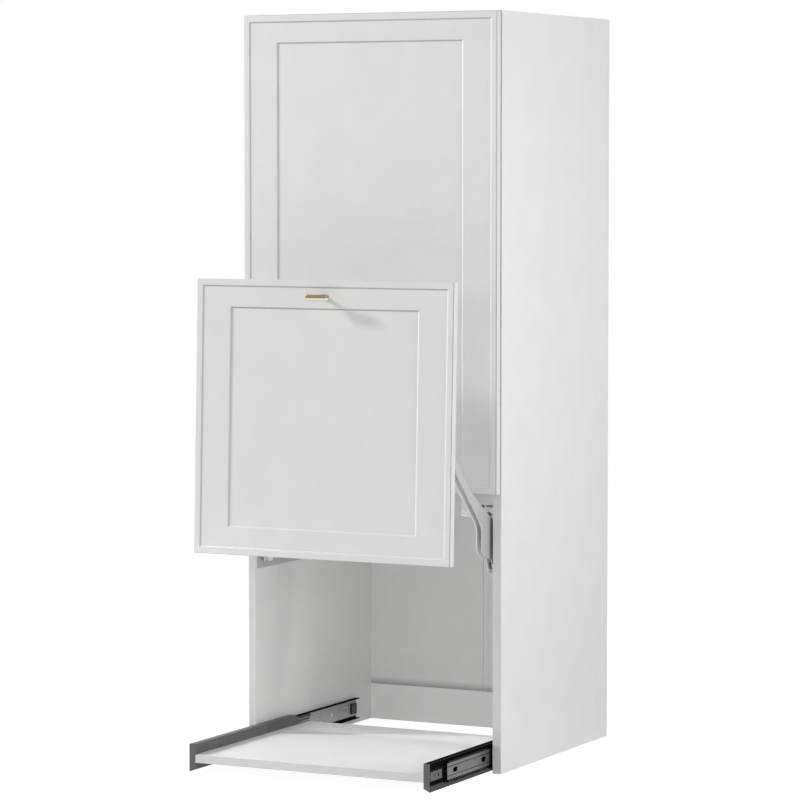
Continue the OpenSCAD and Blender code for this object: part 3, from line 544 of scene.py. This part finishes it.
FINISHES: dict[str, Finish] = {
    "carcass": PAINT,
    # The rear rail is the carcass paint made whiter, as painted light over the shade that it lies in
    "rail_board_painted_light": replace(PAINT, colour=(0.95, 0.95, 0.945)),
    "panel": replace(PAINT, tones=(BOARD_FRONT_SHADE,)),
    "back": Finish("back_white", (0.86, 0.86, 0.856), roughness=0.55, tones=(OVER_RAIL, BESIDE_STRIP)),
    "strip": Finish("strip_white", (0.86, 0.86, 0.86), roughness=0.45, tones=(OVER_RAIL,)),
    "door": Finish("door_white", (0.85, 0.85, 0.847), roughness=0.36, coat=0.12,
                   tones=(STEP_DOWN_SHADE, STEP_RIGHT_SHADE, STEP_LEFT_HIGHLIGHT, DOOR_EDGE_SHADE, DOOR_SIDE_SHADE)),
    # The shelf's white is brighter than the carcass paint: partly its own board and partly painted light on
    # its top
    "shelf": replace(PAINT, slot="shelf_white", colour=(0.93, 0.93, 0.927), tones=(SHELF_FRONT_SHADE,)),
    "zinc": Finish("zinc_steel", (0.62, 0.63, 0.64), roughness=0.34, pattern=Pattern.DRAWN, metallic=1.0,
                   spread=0.08, grain=250.0),
    # The fitting's near white is partly its own paint and partly painted light, lifted for its pocket and
    # its edges; its flat face takes painted shade
    "arm": Finish("fitting_white", (0.94, 0.94, 0.94), roughness=0.3, spread=0.02, grain=900.0, coat=0.7,
                  tones=(ARM_FLAT_SHADE,)),
    "cover": Finish("cover_white", (0.80, 0.80, 0.79), roughness=0.42, spread=0.02, grain=700.0),
    "damper": Finish("cover_white", (0.98, 0.98, 0.98), roughness=0.3, spread=0.01, grain=700.0, coat=0.3),
    "spring": Finish("spring_steel", (0.18, 0.18, 0.19), roughness=0.4, pattern=Pattern.DRAWN, metallic=1.0,
                     spread=0.12, grain=500.0),
    "pad": Finish("pad_grey", (0.55, 0.55, 0.55), roughness=0.6),
    "brass": Finish("handle_brass", (0.258, 0.214, 0.136), roughness=0.32, pattern=Pattern.BRUSHED,
                    metallic=1.0, spread=0.10, grain=1500.0, tones=(BAR_UNDER_REFLECTION,)),
    "wing_left": WING,
    "wing_right": replace(WING, colour=(0.140, 0.142, 0.145), tones=(WING_INSIDE_SHADE, WING_TOP_SHADE)),
    "rail": replace(STEEL, tones=(TOP_RACE_SHADE, LOW_RACE_SHADE)),
    "member_right": replace(STEEL, colour=(0.18, 0.183, 0.186), tones=(CAGE_SHADE, MEMBER_HOLE_SHADE)),
    # The left middle member is the right one's steel painted black as painted shade, with painted light on
    # its pressed lines
    "member_left": replace(STEEL, colour=BLACK, roughness=0.4, metallic=0.0, tones=PRESSED_LINE_LIGHT),
    "ball": replace(STEEL, colour=(0.13, 0.13, 0.133), roughness=0.25, spread=0.05),
    # The pressed squares' steel rims are white as a painted highlight
    "rim_highlight": replace(STEEL, colour=(0.95, 0.95, 0.95), roughness=0.4, metallic=0.0, spread=0.05),
    "stop": Finish("stop_black", BLACK, roughness=0.4),
    "block": Finish("block_grey", (0.085, 0.085, 0.085), roughness=0.45, tones=(BLOCK_HOLE_SHADE,)),
    "plug": Finish("carcass_white", (0.90, 0.90, 0.90), roughness=0.35, coat=0.2),
}


class Workshop:
    """Makes finishes once, dresses CAD nodes and turns bmeshes into finished pieces."""

    def __init__(self, frame: dict) -> None:
        """Keeps the loaded frame and builds one material for each finish."""
        self.frame = frame
        self.materials = {key: finish.material(f"{key}_finish") for key, finish in FINISHES.items()}

    def dress(self, finish: str, nodes: Iterable[str], edge: float = 0.0, angle: float = SHARP) -> None:
        """Gives CAD nodes their finish and, where edge is set, rounds their edges.

        Args:
            finish: Key of the finish.
            nodes: Names of the CAD nodes.
            edge: Width of the rounding.
            angle: Least angle, in degrees, of an edge that is rounded.
        """
        for node in nodes:
            obj = self.frame["nodes"][node]
            if not obj.material_slots:
                obj.data.materials.append(self.materials[finish])
            for held in obj.material_slots:
                held.material = self.materials[finish]
            if edge > 0:
                obj.modifiers.new("merge", "WELD").merge_threshold = CAD_MERGE
                self.round_edges(obj, edge, angle)
            log.info("dressed %s as %s", node, finish)

    @staticmethod
    def round_edges(obj: bpy.types.Object, width: float, angle: float) -> None:
        """Adds a bevel modifier that rounds the sharp edges.

        Args:
            obj: The piece.
            width: Width of the rounding.
            angle: Least angle, in degrees, of an edge that is rounded.
        """
        bevel = obj.modifiers.new("edges", "BEVEL")
        bevel.width = width * MM
        bevel.segments = EDGE_SEGMENTS
        bevel.limit_method = "ANGLE"
        bevel.angle_limit = math.radians(angle)

    def piece(self, name: str, bm: bmesh.types.BMesh, finish: str, body: str, replaces: Sequence[str] = (),
              edge: float = 0.0, angle: float = SHARP) -> bpy.types.Object:
        """Turns a bmesh into a finished piece that rides on a body.

        Args:
            name: Name of the piece.
            bm: Its geometry, in metres and in place; it is freed.
            finish: Key of the finish.
            body: The CAD body that it rides on.
            replaces: CAD nodes that it stands for.
            edge: Width of the edge rounding.
            angle: Least angle, in degrees, of an edge that is rounded.

        Returns:
            The new object.
        """
        bmesh.ops.remove_doubles(bm, verts=bm.verts, dist=PIECE_MERGE)
        bmesh.ops.recalc_face_normals(bm, faces=bm.faces)
        mesh = bpy.data.meshes.new(name)
        bm.to_mesh(mesh)
        bm.free()
        mesh.materials.append(self.materials[finish])
        obj = bpy.data.objects.new(name, mesh)
        bpy.context.scene.collection.objects.link(obj)
        if edge > 0:
            self.round_edges(obj, edge, angle)
        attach(obj, body)
        if replaces:
            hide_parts(*replaces)
        log.info("made %s", name)
        return obj


def box(bm: bmesh.types.BMesh, lo: Sequence[float], hi: Sequence[float]) -> list[bmesh.types.BMVert]:
    """Adds a box given by its corners.

    Args:
        bm: The bmesh it is added to.
        lo: Lowest corner.
        hi: Highest corner.

    Returns:
        The box's vertices.
    """
    size = [(b - a) * MM for a, b in zip(lo, hi)]
    centre = Vector((a + b) / 2 * MM for a, b in zip(lo, hi))
    made = bmesh.ops.create_cube(bm, size=1.0)["verts"]
    bmesh.ops.scale(bm, vec=size, verts=made)
    bmesh.ops.translate(bm, vec=centre, verts=made)
    return made


def rod(bm: bmesh.types.BMesh, centre: Sequence[float], radius: float, length: float, axis: Axis, sides: int,
        tip: float | None = None) -> None:
    """Adds a closed cylinder or cone along X or Y.

    Args:
        bm: The bmesh it is added to.
        centre: Its middle.
        radius: Its radius, at the lower end when it tapers.
        length: Its length.
        axis: Its axis, X or Y.
        sides: Number of sides.
        tip: Its radius at the upper end, when it tapers.
    """
    top = radius if tip is None else tip
    made = bmesh.ops.create_cone(bm, cap_ends=True, segments=sides, radius1=radius * MM, radius2=top * MM,
                                 depth=length * MM)["verts"]
    turns = {Axis.X: Matrix.Rotation(math.pi / 2, 3, "Y"), Axis.Y: Matrix.Rotation(-math.pi / 2, 3, "X")}
    bmesh.ops.rotate(bm, cent=(0, 0, 0), matrix=turns[axis], verts=made)
    bmesh.ops.translate(bm, vec=Vector(centre) * MM, verts=made)


@dataclass
class PanelDoor:
    """A painted door with a raised lip, a frame and a sunk centre panel.

    Attributes:
        name: Name of the CAD node that it replaces and of the body that it rides on.
        low: Height of its lower edge.
        high: Height of its upper edge.
        placed: Matrix that carries it from its closed place to where it stands.
        lip: Width of the lip.
        lip_slope: Width of the slope from the lip down to the frame.
        frame_side: From the door's side to the slope into its panel.
        frame_end: The same at its top and foot.
        panel_slope: Width of that slope.
        panel_step: How far the panel lies behind the frame.
        edge: Width of the edge rounding.
        edge_angle: Least angle, in degrees, of an edge that is rounded.
    """

    name: str
    low: float
    high: float
    placed: Matrix = field(default_factory=lambda: Matrix.Identity(4))
    lip: float = 13.2
    lip_slope: float = 3.0
    frame_side: float = 79.0
    frame_end: float = 57.5
    panel_slope: float = 3.2
    panel_step: float = 2.6
    edge: float = 0.7
    edge_angle: float = 12.0

    def build(self, shop: Workshop) -> None:
        """Insets the front face of a board four times, and softens every edge.

        Args:
            shop: The workshop that finishes it.
        """
        half = SIZES.door_half
        back = SIZES.door_back
        bm = bmesh.new()
        box(bm, (-half, back - SIZES.door_t, self.low), (half, back, self.high))
        bm.faces.ensure_lookup_table()
        bm.normal_update()
        front = min(bm.faces, key=lambda face: face.calc_center_median().y)
        self.inset(bm, front, self.lip, 0.0)
        self.inset(bm, front, self.lip_slope, SIZES.lip_step)
        self.inset(bm, front, self.frame_end - self.lip - self.lip_slope, 0.0)
        squeeze = (half - self.frame_side) / (half - self.frame_end)
        bmesh.ops.scale(bm, vec=(squeeze, 1, 1), verts=front.verts)
        self.inset(bm, front, self.panel_slope, self.panel_step)
        bmesh.ops.transform(bm, matrix=self.placed, verts=bm.verts)
        shop.piece(f"{self.name}_panel", bm, "door", self.name, [self.name], self.edge, self.edge_angle)

    @staticmethod
    def inset(bm: bmesh.types.BMesh, face: bmesh.types.BMFace, width: float, drop: float) -> None:
        """Insets one face by a width and sinks it."""
        bmesh.ops.inset_region(bm, faces=[face], thickness=width * MM, depth=-drop * MM,
                               use_even_offset=True, use_boundary=True)


@dataclass
class BarHandle:
    """The short bar with bevelled edges, on one stem.

    Attributes:
        half: Half the bar's length.
        height: Its height.
        deep: Its depth.
        bevel: Width of its bevels.
        bar_edge: Width of its edge rounding.
        bar_angle: Least angle, in degrees, of an edge of it that is rounded.
        reach: From the door's frame to the bar's middle.
        stem_r: Radius of the stem.
        foot_r: Radius of its foot on the door.
        foot_t: Thickness of the foot.
        sides: Number of sides of the stem.
        stem_edge: Width of its edge rounding.
    """

    half: float = 26.0
    height: float = 11.5
    deep: float = 10.0
    bevel: float = 3.0
    bar_edge: float = 0.3
    bar_angle: float = 20.0
    reach: float = 30.0
    stem_r: float = 4.5
    foot_r: float = 6.5
    foot_t: float = 2.0
    sides: int = 40
    stem_edge: float = 0.4

    def build(self, shop: Workshop) -> None:
        """Builds the bar and its stem on the raised door.

        Args:
            shop: The workshop that finishes them.
        """
        face = SIZES.door_back - SIZES.door_t + SIZES.lip_step
        z = SIZES.lift_door_high - SIZES.handle_drop
        self.bar(shop, face - self.reach, z)
        self.stem(shop, face, z)

    def bar(self, shop: Workshop, middle: float, z: float) -> None:
        """Builds the bar.

        Args:
            shop: The workshop that finishes it.
            middle: Y of its middle.
            z: Height of its middle.
        """
        bm = bmesh.new()
        made = box(bm, (-self.half, middle - self.deep / 2, z - self.height / 2),
                   (self.half, middle + self.deep / 2, z + self.height / 2))
        edges = list({edge for corner in made for edge in corner.link_edges})
        bmesh.ops.bevel(bm, geom=edges, offset=self.bevel * MM, offset_type="OFFSET", profile=0.5,
                        segments=EDGE_SEGMENTS, affect="EDGES", material=-1)
        bmesh.ops.transform(bm, matrix=SIZES.raise_matrix(), verts=bm.verts)
        shop.piece("handle_bar_brushed", bm, "brass", "lift_door", ["handle_bar"], self.bar_edge,
                   self.bar_angle)

    def stem(self, shop: Workshop, face: float, z: float) -> None:
        """Builds the stem and its foot.

        Args:
            shop: The workshop that finishes it.
            face: Y of the door's frame.
            z: Height of its middle.
        """
        bm = bmesh.new()
        length = self.reach - self.deep / 2
        rod(bm, (0, face - length / 2, z), self.stem_r, length, Axis.Y, self.sides)
        rod(bm, (0, face - self.foot_t / 2, z), self.foot_r, self.foot_t, Axis.Y, self.sides)
        bmesh.ops.transform(bm, matrix=SIZES.raise_matrix(), verts=bm.verts)
        shop.piece("handle_stem_turned", bm, "brass", "lift_door", ["handle_stem"], self.stem_edge)


@dataclass
class Carcass:
    """The boards, back panels and joints of the cabinet.

    Attributes:
        boards: The boards whose front edges show.
        shelves: The shelves behind the upper door.
        metal: The joints, brackets, hinges, pins and screws.
        board_edge: Width of a board's edge rounding.
        strip_edge: The same on the joint strip.
        metal_edge: The same on the metal parts.
        pad_edge: The same on the doors' pads.
    """

    boards: tuple[str, ...] = ("left_side_panel", "right_side_panel", "top_panel", "divider_panel")
    shelves: tuple[str, ...] = ("inner_shelf_low", "inner_shelf_mid", "inner_shelf_high")
    metal: tuple[str, ...] = (
        "shelf_pins", "cam_locks", "cam_bolts", "wall_bracket_left", "wall_bracket_right", "hinge_plates",
        "hinge_arms", "hinge_cups", "hinge_pins", "fixed_pivot_pins", "door_pivot_pins", "bracket_screws",
        "handle_screw", "runner_screws", "shelf_screws",
    )
    board_edge: float = 0.6
    strip_edge: float = 0.3
    metal_edge: float = 0.25
    pad_edge: float = 0.4

    def build(self, shop: Workshop) -> None:
        """Dresses the boards, the back, the small metal parts and the doors' pads.

        Args:
            shop: The workshop that finishes them.
        """
        shop.dress("panel", self.boards, self.board_edge)
        shop.dress("carcass", self.shelves, self.board_edge)
        shop.dress("rail_board_painted_light", ["rear_rail"], self.board_edge)
        shop.dress("back", ["back_panel_left", "back_panel_right"])
        shop.dress("strip", ["back_joint_strip"], self.strip_edge)
        shop.dress("zinc", self.metal, self.metal_edge)
        shop.dress("pad", ["upper_door_pads", "lift_door_pads"], self.pad_edge)


@dataclass
class LiftFitting:
    """The arms, plates and covers of one side's lift fitting.

    Attributes:
        side: The side that it is on.
        sheet_edge: Width of the arms' and plates' edge rounding.
        cover_edge: The same on the cover and the nose block.
        damper_edge: The same on the damper.
        spring_edge: The same on the spring and the roller.
        angle: Least angle, in degrees, of an edge of the white parts that is rounded.
    """

    side: Side
    sheet_edge: float = 0.45
    cover_edge: float = 0.6
    damper_edge: float = 0.4
    spring_edge: float = 0.3
    angle: float = 30.0

    def named(self, *parts: str) -> list[str]:
        """The parts' CAD nodes on this side."""
        return [f"{part}_{self.side.value}" for part in parts]

    def build(self, shop: Workshop) -> None:
        """Dresses one side's fitting.

        Args:
            shop: The workshop that finishes it.
        """
        sheets = self.named("main_arm", "follower_arm", "door_bracket", "lift_plate")
        shop.dress("arm", sheets, self.sheet_edge, self.angle)
        shop.dress("cover", self.named("lift_cover", "lift_nose"), self.cover_edge, self.angle)
        shop.dress("damper", self.named("lift_damper"), self.damper_edge, self.angle)
        shop.dress("spring", self.named("lift_spring", "arm_roller"), self.spring_edge)


@dataclass
class ShelfRunner:
    """One side's runner: the cabinet member, the middle member and the bracket beside the board.

    Attributes:
        side: The side that it is on.
        member_edge: Width of the cabinet and the middle member's edge rounding.
        wing_edge: The same on the bracket beside the board.
        mid_y: Y of the middle member's front end.
        mid_len: Its length.
        cage_z: How far above and below the runner's middle the ball rows lie.
        cage_in: From the middle member's ends to its ball cages.
        cage_len: Length of a ball cage.
        ball_d: Distance of the balls' centres from the side panel.
        ball_r: Their radius.
        ball_pitch: Their pitch.
        ball_sides: Their segments round and from pole to pole.
        emboss_y: Y of the pressed squares in the cabinet member.
        emboss_half: Half their length and height.
        emboss_line: Width of their rims.
        emboss_d: Distance of the rims' front and rear face from the side panel.
        rim_edge: Width of the rims' edge rounding.
    """

    side: Side
    member_edge: float = 0.3
    wing_edge: float = 0.35
    mid_y: float = -754.0
    mid_len: float = 440.0
    cage_z: float = 19.2
    cage_in: float = 6.0
    cage_len: float = 190.0
    ball_d: float = 5.8
    ball_r: float = 1.5
    ball_pitch: float = 13.0
    ball_sides: tuple[int, int] = (10, 6)
    emboss_y: tuple[float, float] = (-259.0, -140.0)
    emboss_half: tuple[float, float] = (14.5, 8.0)
    emboss_line: float = 1.6
    emboss_d: tuple[float, float] = (1.9, 1.4)
    rim_edge: float = 0.15

    def balls(self, shop: Workshop) -> None:
        """Sets the balls in the cages above and below the middle member.

        Args:
            shop: The workshop that finishes them.
        """
        bm = bmesh.new()
        around, upright = self.ball_sides
        radius = self.ball_r * MM
        x = SIZES.off_panel(self.side, self.ball_d)
        last = self.mid_y + self.mid_len - self.cage_in
        for start in (self.mid_y + self.cage_in, last - self.cage_len):
            for k in range(int(self.cage_len / self.ball_pitch)):
                for z in (SIZES.runner_z - self.cage_z, SIZES.runner_z + self.cage_z):
                    place = Vector((x, start + (k + 0.5) * self.ball_pitch, z)) * MM
                    bmesh.ops.create_uvsphere(bm, u_segments=around, v_segments=upright, radius=radius,
                                              matrix=Matrix.Translation(place))
        bm.faces.sort(key=lambda face: FACE_RANK.dot(face.calc_center_median()))
        side = self.side.value
        shop.piece(f"runner_balls_{side}", bm, "ball", f"mid_runner_{side}")

    def squares(self, shop: Workshop) -> None:
        """Draws the raised rims of the pressed squares on the cabinet member, white as a painted highlight
        where their edges catch the light.

        Args:
            shop: The workshop that finishes them.
        """
        bm = bmesh.new()
        faces = sorted(SIZES.off_panel(self.side, distance) for distance in self.emboss_d)
        wide, high = self.emboss_half
        line = self.emboss_line
        bars = (((-wide, -high), (wide, line - high)), ((-wide, high - line), (wide, high)),
                ((-wide, -high), (line - wide, high)), ((wide - line, -high), (wide, high)))
        for y in self.emboss_y:
            for lo, hi in bars:
                box(bm, (faces[0], y + lo[0], SIZES.runner_z + lo[1]),
                    (faces[1], y + hi[0], SIZES.runner_z + hi[1]))
        shop.piece(f"pressed_squares_{self.side.value}", bm, "rim_highlight", "cabinet", edge=self.rim_edge)

    def build(self, shop: Workshop) -> None:
        """Dresses one side's runner and adds its balls and pressed squares.

        Args:
            shop: The workshop that finishes them.
        """
        side = self.side.value
        shop.dress("rail", [f"cabinet_runner_{side}"], self.member_edge)
        shop.dress(f"member_{side}", [f"mid_runner_{side}"], self.member_edge)
        shop.dress(f"wing_{side}", [f"shelf_runner_{side}"], self.wing_edge)
        self.balls(shop)
        self.squares(shop)


@dataclass
class PullOutShelf:
    """The pull-out board, the blocks in its runners' front ends and the stops at their rear ends.

    Attributes:
        board_edge: Width of the board's edge rounding.
        plastic_edge: The same on the stops and the blocks.
    """

    board_edge: float = 0.5
    plastic_edge: float = 0.3

    def build(self, shop: Workshop) -> None:
        """Dresses the board, the stops and the blocks.

        Args:
            shop: The workshop that finishes them.
        """
        shop.dress("shelf", ["pull_out_shelf"], self.board_edge)
        shop.dress("stop", ["runner_stops"], self.plastic_edge)
        shop.dress("block", ["runner_end_blocks"], self.plastic_edge)


@dataclass
class SmallParts:
    """Rivet heads on the lift's pivots and caps in the side panels' small holes.

    Attributes:
        head_r: Radius of a rivet head.
        head_t: Its thickness.
        head_sides: Its number of sides.
        boss_r: Radius of the boss in its middle.
        boss_t: Thickness of the boss, which passes through the head.
        main_fixed_d: Distance from the side panel of the heads on the main arm's cabinet pivot.
        main_door_d: The same on its door pivot.
        follower_d: The same on both pivots of the follower arm.
        head_edge: Width of the heads' edge rounding.
        cap_r: Radius of a cap at the panel.
        cap_tip: Its radius at its face.
        cap_t: Its thickness.
        cap_y: From the carcass front back to the caps.
        cap_z: Heights of the caps.
        cap_edge: Width of their edge rounding.
        small_sides: Number of sides of the caps and the bosses.
    """

    head_r: float = 5.6
    head_t: float = 1.4
    head_sides: int = 36
    boss_r: float = 1.96
    boss_t: float = 1.9
    main_fixed_d: float = 22.2
    main_door_d: float = 6.3
    follower_d: float = 37.4
    head_edge: float = 0.35
    cap_r: float = 2.4
    cap_tip: float = 1.44
    cap_t: float = 0.8
    cap_y: float = 61.5
    cap_z: tuple[float, float] = (254.5, 281.5)
    cap_edge: float = 0.2
    small_sides: int = 24

    def build(self, shop: Workshop) -> None:
        """Adds the caps and the rivet heads.

        Args:
            shop: The workshop that finishes them.
        """
        self.caps(shop)
        fixed = Vector((0, SIZES.front + SIZES.pivot[0], SIZES.pivot[1]))
        shut = Vector((0, *SIZES.arm_end(SIZES.arm_closed)))
        turn = math.radians(SIZES.pivot_dir)
        step = Vector((0, -math.sin(turn), -math.cos(turn))) * SIZES.pivot_pitch
        on_cabinet = ((fixed, self.main_fixed_d), (fixed + step, self.follower_d))
        on_door = ((shut, self.main_door_d), (shut + step, self.follower_d))
        self.heads(shop, "cabinet", on_cabinet, Matrix.Identity(4))
        self.heads(shop, "lift_door", on_door, SIZES.raise_matrix())

    def caps(self, shop: Workshop) -> None:
        """Adds the caps, which taper away from the panels.

        Args:
            shop: The workshop that finishes them.
        """
        bm = bmesh.new()
        ends = {Side.LEFT: (self.cap_r, self.cap_tip), Side.RIGHT: (self.cap_tip, self.cap_r)}
        for side, (low, top) in ends.items():
            for z in self.cap_z:
                place = (SIZES.off_panel(side, self.cap_t / 2), SIZES.front + self.cap_y, z)
                rod(bm, place, low, self.cap_t, Axis.X, self.small_sides, top)
        shop.piece("hole_caps", bm, "plug", "cabinet", edge=self.cap_edge)

    def heads(self, shop: Workshop, body: str, places: Iterable[tuple[Vector, float]],
              placed: Matrix) -> None:
        """Adds turned rivet heads on both sides.

        Args:
            shop: The workshop that finishes them.
            body: The body that they ride on.
            places: Middle of each head and distance from the side panel to its near end.
            placed: Matrix that carries them to where they stand.
        """
        bm = bmesh.new()
        for point, distance in places:
            for side in Side:
                centre = (SIZES.off_panel(side, distance + self.head_t / 2), point.y, point.z)
                rod(bm, centre, self.head_r, self.head_t, Axis.X, self.head_sides)
                rod(bm, centre, self.boss_r, self.boss_t, Axis.X, self.small_sides)
        bmesh.ops.transform(bm, matrix=placed, verts=bm.verts)
        shop.piece(f"rivet_heads_{body}", bm, "zinc", body, edge=self.head_edge)


@dataclass(frozen=True)
class Lamp:
    """A square area lamp that the camera does not see, in metres.

    Attributes:
        name: Its name.
        place: Where it stands.
        target: What it points at.
        size: Its side.
        power: Its power in watts.
        spread: Angle of its beam in degrees.
    """

    name: str
    place: Point
    target: Point
    size: float
    power: float
    spread: float = 180.0

    def hang(self) -> None:
        """Adds the lamp to the scene."""
        data = bpy.data.lights.new(self.name, "AREA")
        data.shape = "SQUARE"
        data.size = self.size
        data.energy = self.power
        data.spread = math.radians(self.spread)
        lamp = bpy.data.objects.new(self.name, data)
        lamp.visible_camera = False
        bpy.context.scene.collection.objects.link(lamp)
        lamp.location = self.place
        way = Vector(self.target) - Vector(self.place)
        lamp.rotation_euler = way.to_track_quat("-Z", "Y").to_euler()


LAMPS = (
    Lamp("left_key", (-3.0, -1.8, 2.5), (0, -0.6, 0.9), size=0.35, power=75.0),
    Lamp("front_key", (0.5, -4.2, 1.7), (0, -0.6, 0.9), size=1.0, power=12.5),
    Lamp("right_fill", (2.2, -0.9, 1.3), (0.3, -0.3, 1.15), size=1.2, power=21.5),
    Lamp("low_fill", (1.3, -2.0, 0.35), (0.25, -0.6, 0.6), size=0.6, power=1.2),
    Lamp("opening_fill", (0.0, -0.42, 0.26), (0, 0, 0.18), size=0.42, power=0.22),
    Lamp("shelf_fill", (-2.2, -1.9, 1.6), (0.02, -0.68, 0.04), size=0.2, power=0.17, spread=14.0),
)


@dataclass
class Studio:
    """Camera, lamps, floor and surroundings.

    Attributes:
        focal_px: The fitted camera's focal length in the photograph's pixels.
        frame_px: The photograph's width in pixels.
        yaw: How far the camera looks to the left of straight ahead, in degrees.
        pitch: How far it looks down, in degrees.
        offset: The carcass front's middle at floor level, seen from the camera: right, up and forward.
        sensor: Width of the camera's sensor in millimetres.
        far: How far the camera sees, in metres.
        ambient: Strength of the world as a light.
        floor_half: Half the floor's width in metres.
        floor_drop: How far it lies below the cabinet.
        floor_white: Grey level of its paint.
        floor_rough: Roughness of its paint.
        floor_glow: Strength of the glow that the camera sees on it.
        floor_share: How much of what the camera sees of it is that glow.
    """

    focal_px: float = 3549.740
    frame_px: float = 800.0
    yaw: float = 26.750
    pitch: float = 3.871
    offset: Point = (-57.735, -771.607, 7538.446)
    sensor: float = 36.0
    far: float = 100.0
    ambient: float = 0.29
    floor_half: float = 30.0
    floor_drop: float = 0.5
    floor_white: float = 0.95
    floor_rough: float = 0.9
    floor_glow: float = 1.12
    floor_share: float = 0.85

    def camera(self) -> None:
        """Sets the camera at the photograph's viewing angle."""
        yaw = math.radians(self.yaw)
        pitch = math.radians(self.pitch)
        level = math.cos(pitch)
        forward = Vector((-math.sin(yaw) * level, math.cos(yaw) * level, -math.sin(pitch)))
        right = Vector((math.cos(yaw), math.sin(yaw), 0))
        up = right.cross(forward)
        place = -(right * self.offset[0] + up * self.offset[1] + forward * self.offset[2])
        place.y += SIZES.front
        data = bpy.data.cameras.new("camera")
        data.sensor_width = self.sensor
        data.lens = self.focal_px / self.frame_px * self.sensor
        data.clip_end = self.far
        camera = bpy.data.objects.new("camera", data)
        bpy.context.scene.collection.objects.link(camera)
        turn = Matrix((right, up, -forward)).transposed()
        camera.matrix_world = Matrix.Translation(place * MM) @ turn.to_4x4()
        bpy.context.scene.camera = camera

    def world(self) -> None:
        """A white world for the camera and for gloss, dimmer as a light."""
        world = bpy.data.worlds.new("studio")
        bpy.context.scene.world = world
        world.use_nodes = True
        world.node_tree.nodes.clear()
        wiring = Wiring(world.node_tree)
        lit = wiring.add("ShaderNodeBackground", {"Color": WHITE_LIGHT, "Strength": self.ambient})
        seen = wiring.add("ShaderNodeBackground", {"Color": WHITE_LIGHT})
        both = {"Fac": wiring.seen(), 1: lit.outputs["Background"], 2: seen.outputs["Background"]}
        mix = wiring.add("ShaderNodeMixShader", both)
        wiring.add("ShaderNodeOutputWorld", {"Surface": mix.outputs["Shader"]})

    def floor(self) -> None:
        """A wide white floor that the camera sees as near white, with a faint shadow."""
        bm = bmesh.new()
        bmesh.ops.create_grid(bm, x_segments=1, y_segments=1, size=self.floor_half)
        mesh = bpy.data.meshes.new("floor")
        bm.to_mesh(mesh)
        bm.free()
        floor = bpy.data.objects.new("floor", mesh)
        bpy.context.scene.collection.objects.link(floor)
        floor.location = (0, 0, -self.floor_drop * MM)
        mesh.materials.append(self.floor_paint())

    def floor_paint(self) -> bpy.types.Material:
        """Mixes the floor's matt paint with the glow that the camera sees.

        Returns:
            The floor's material.
        """
        mat = bpy.data.materials.new("floor_paint")
        mat.use_nodes = True
        wiring = Wiring(mat.node_tree)
        paint = mat.node_tree.nodes["Principled BSDF"]
        white = (self.floor_white, self.floor_white, self.floor_white, 1.0)
        wiring.feed(paint, {"Base Color": white, "Roughness": self.floor_rough})
        share = wiring.add("ShaderNodeMapRange", {"Value": wiring.seen(), "To Max": self.floor_share})
        glow = wiring.add("ShaderNodeEmission", {"Strength": self.floor_glow})
        both = {"Fac": share.outputs["Result"], 1: paint.outputs["BSDF"], 2: glow.outputs["Emission"]}
        mix = wiring.add("ShaderNodeMixShader", both)
        wiring.feed(mat.node_tree.nodes["Material Output"], {"Surface": mix.outputs["Shader"]})
        return mat

    def build(self) -> None:
        """Builds the camera, the world, the floor and the lamps."""
        bpy.context.scene.view_settings.view_transform = "Standard"
        self.camera()
        self.world()
        self.floor()
        for lamp in LAMPS:
            lamp.hang()


def main() -> None:
    """Builds the studio and then each sub-assembly."""
    logging.basicConfig(level=logging.INFO, format="%(name)s: %(message)s")
    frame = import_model()
    shop = Workshop(frame)
    Studio().build()
    Carcass().build(shop)
    PanelDoor("upper_door", SIZES.upper_door_low, SIZES.height - SIZES.top_gap).build(shop)
    PanelDoor("lift_door", SIZES.lift_door_high - SIZES.lift_door_h, SIZES.lift_door_high,
              SIZES.raise_matrix()).build(shop)
    BarHandle().build(shop)
    for side in Side:
        LiftFitting(side).build(shop)
        ShelfRunner(side).build(shop)
    SmallParts().build(shop)
    PullOutShelf().build(shop)


if __name__ == "__main__":
    main()
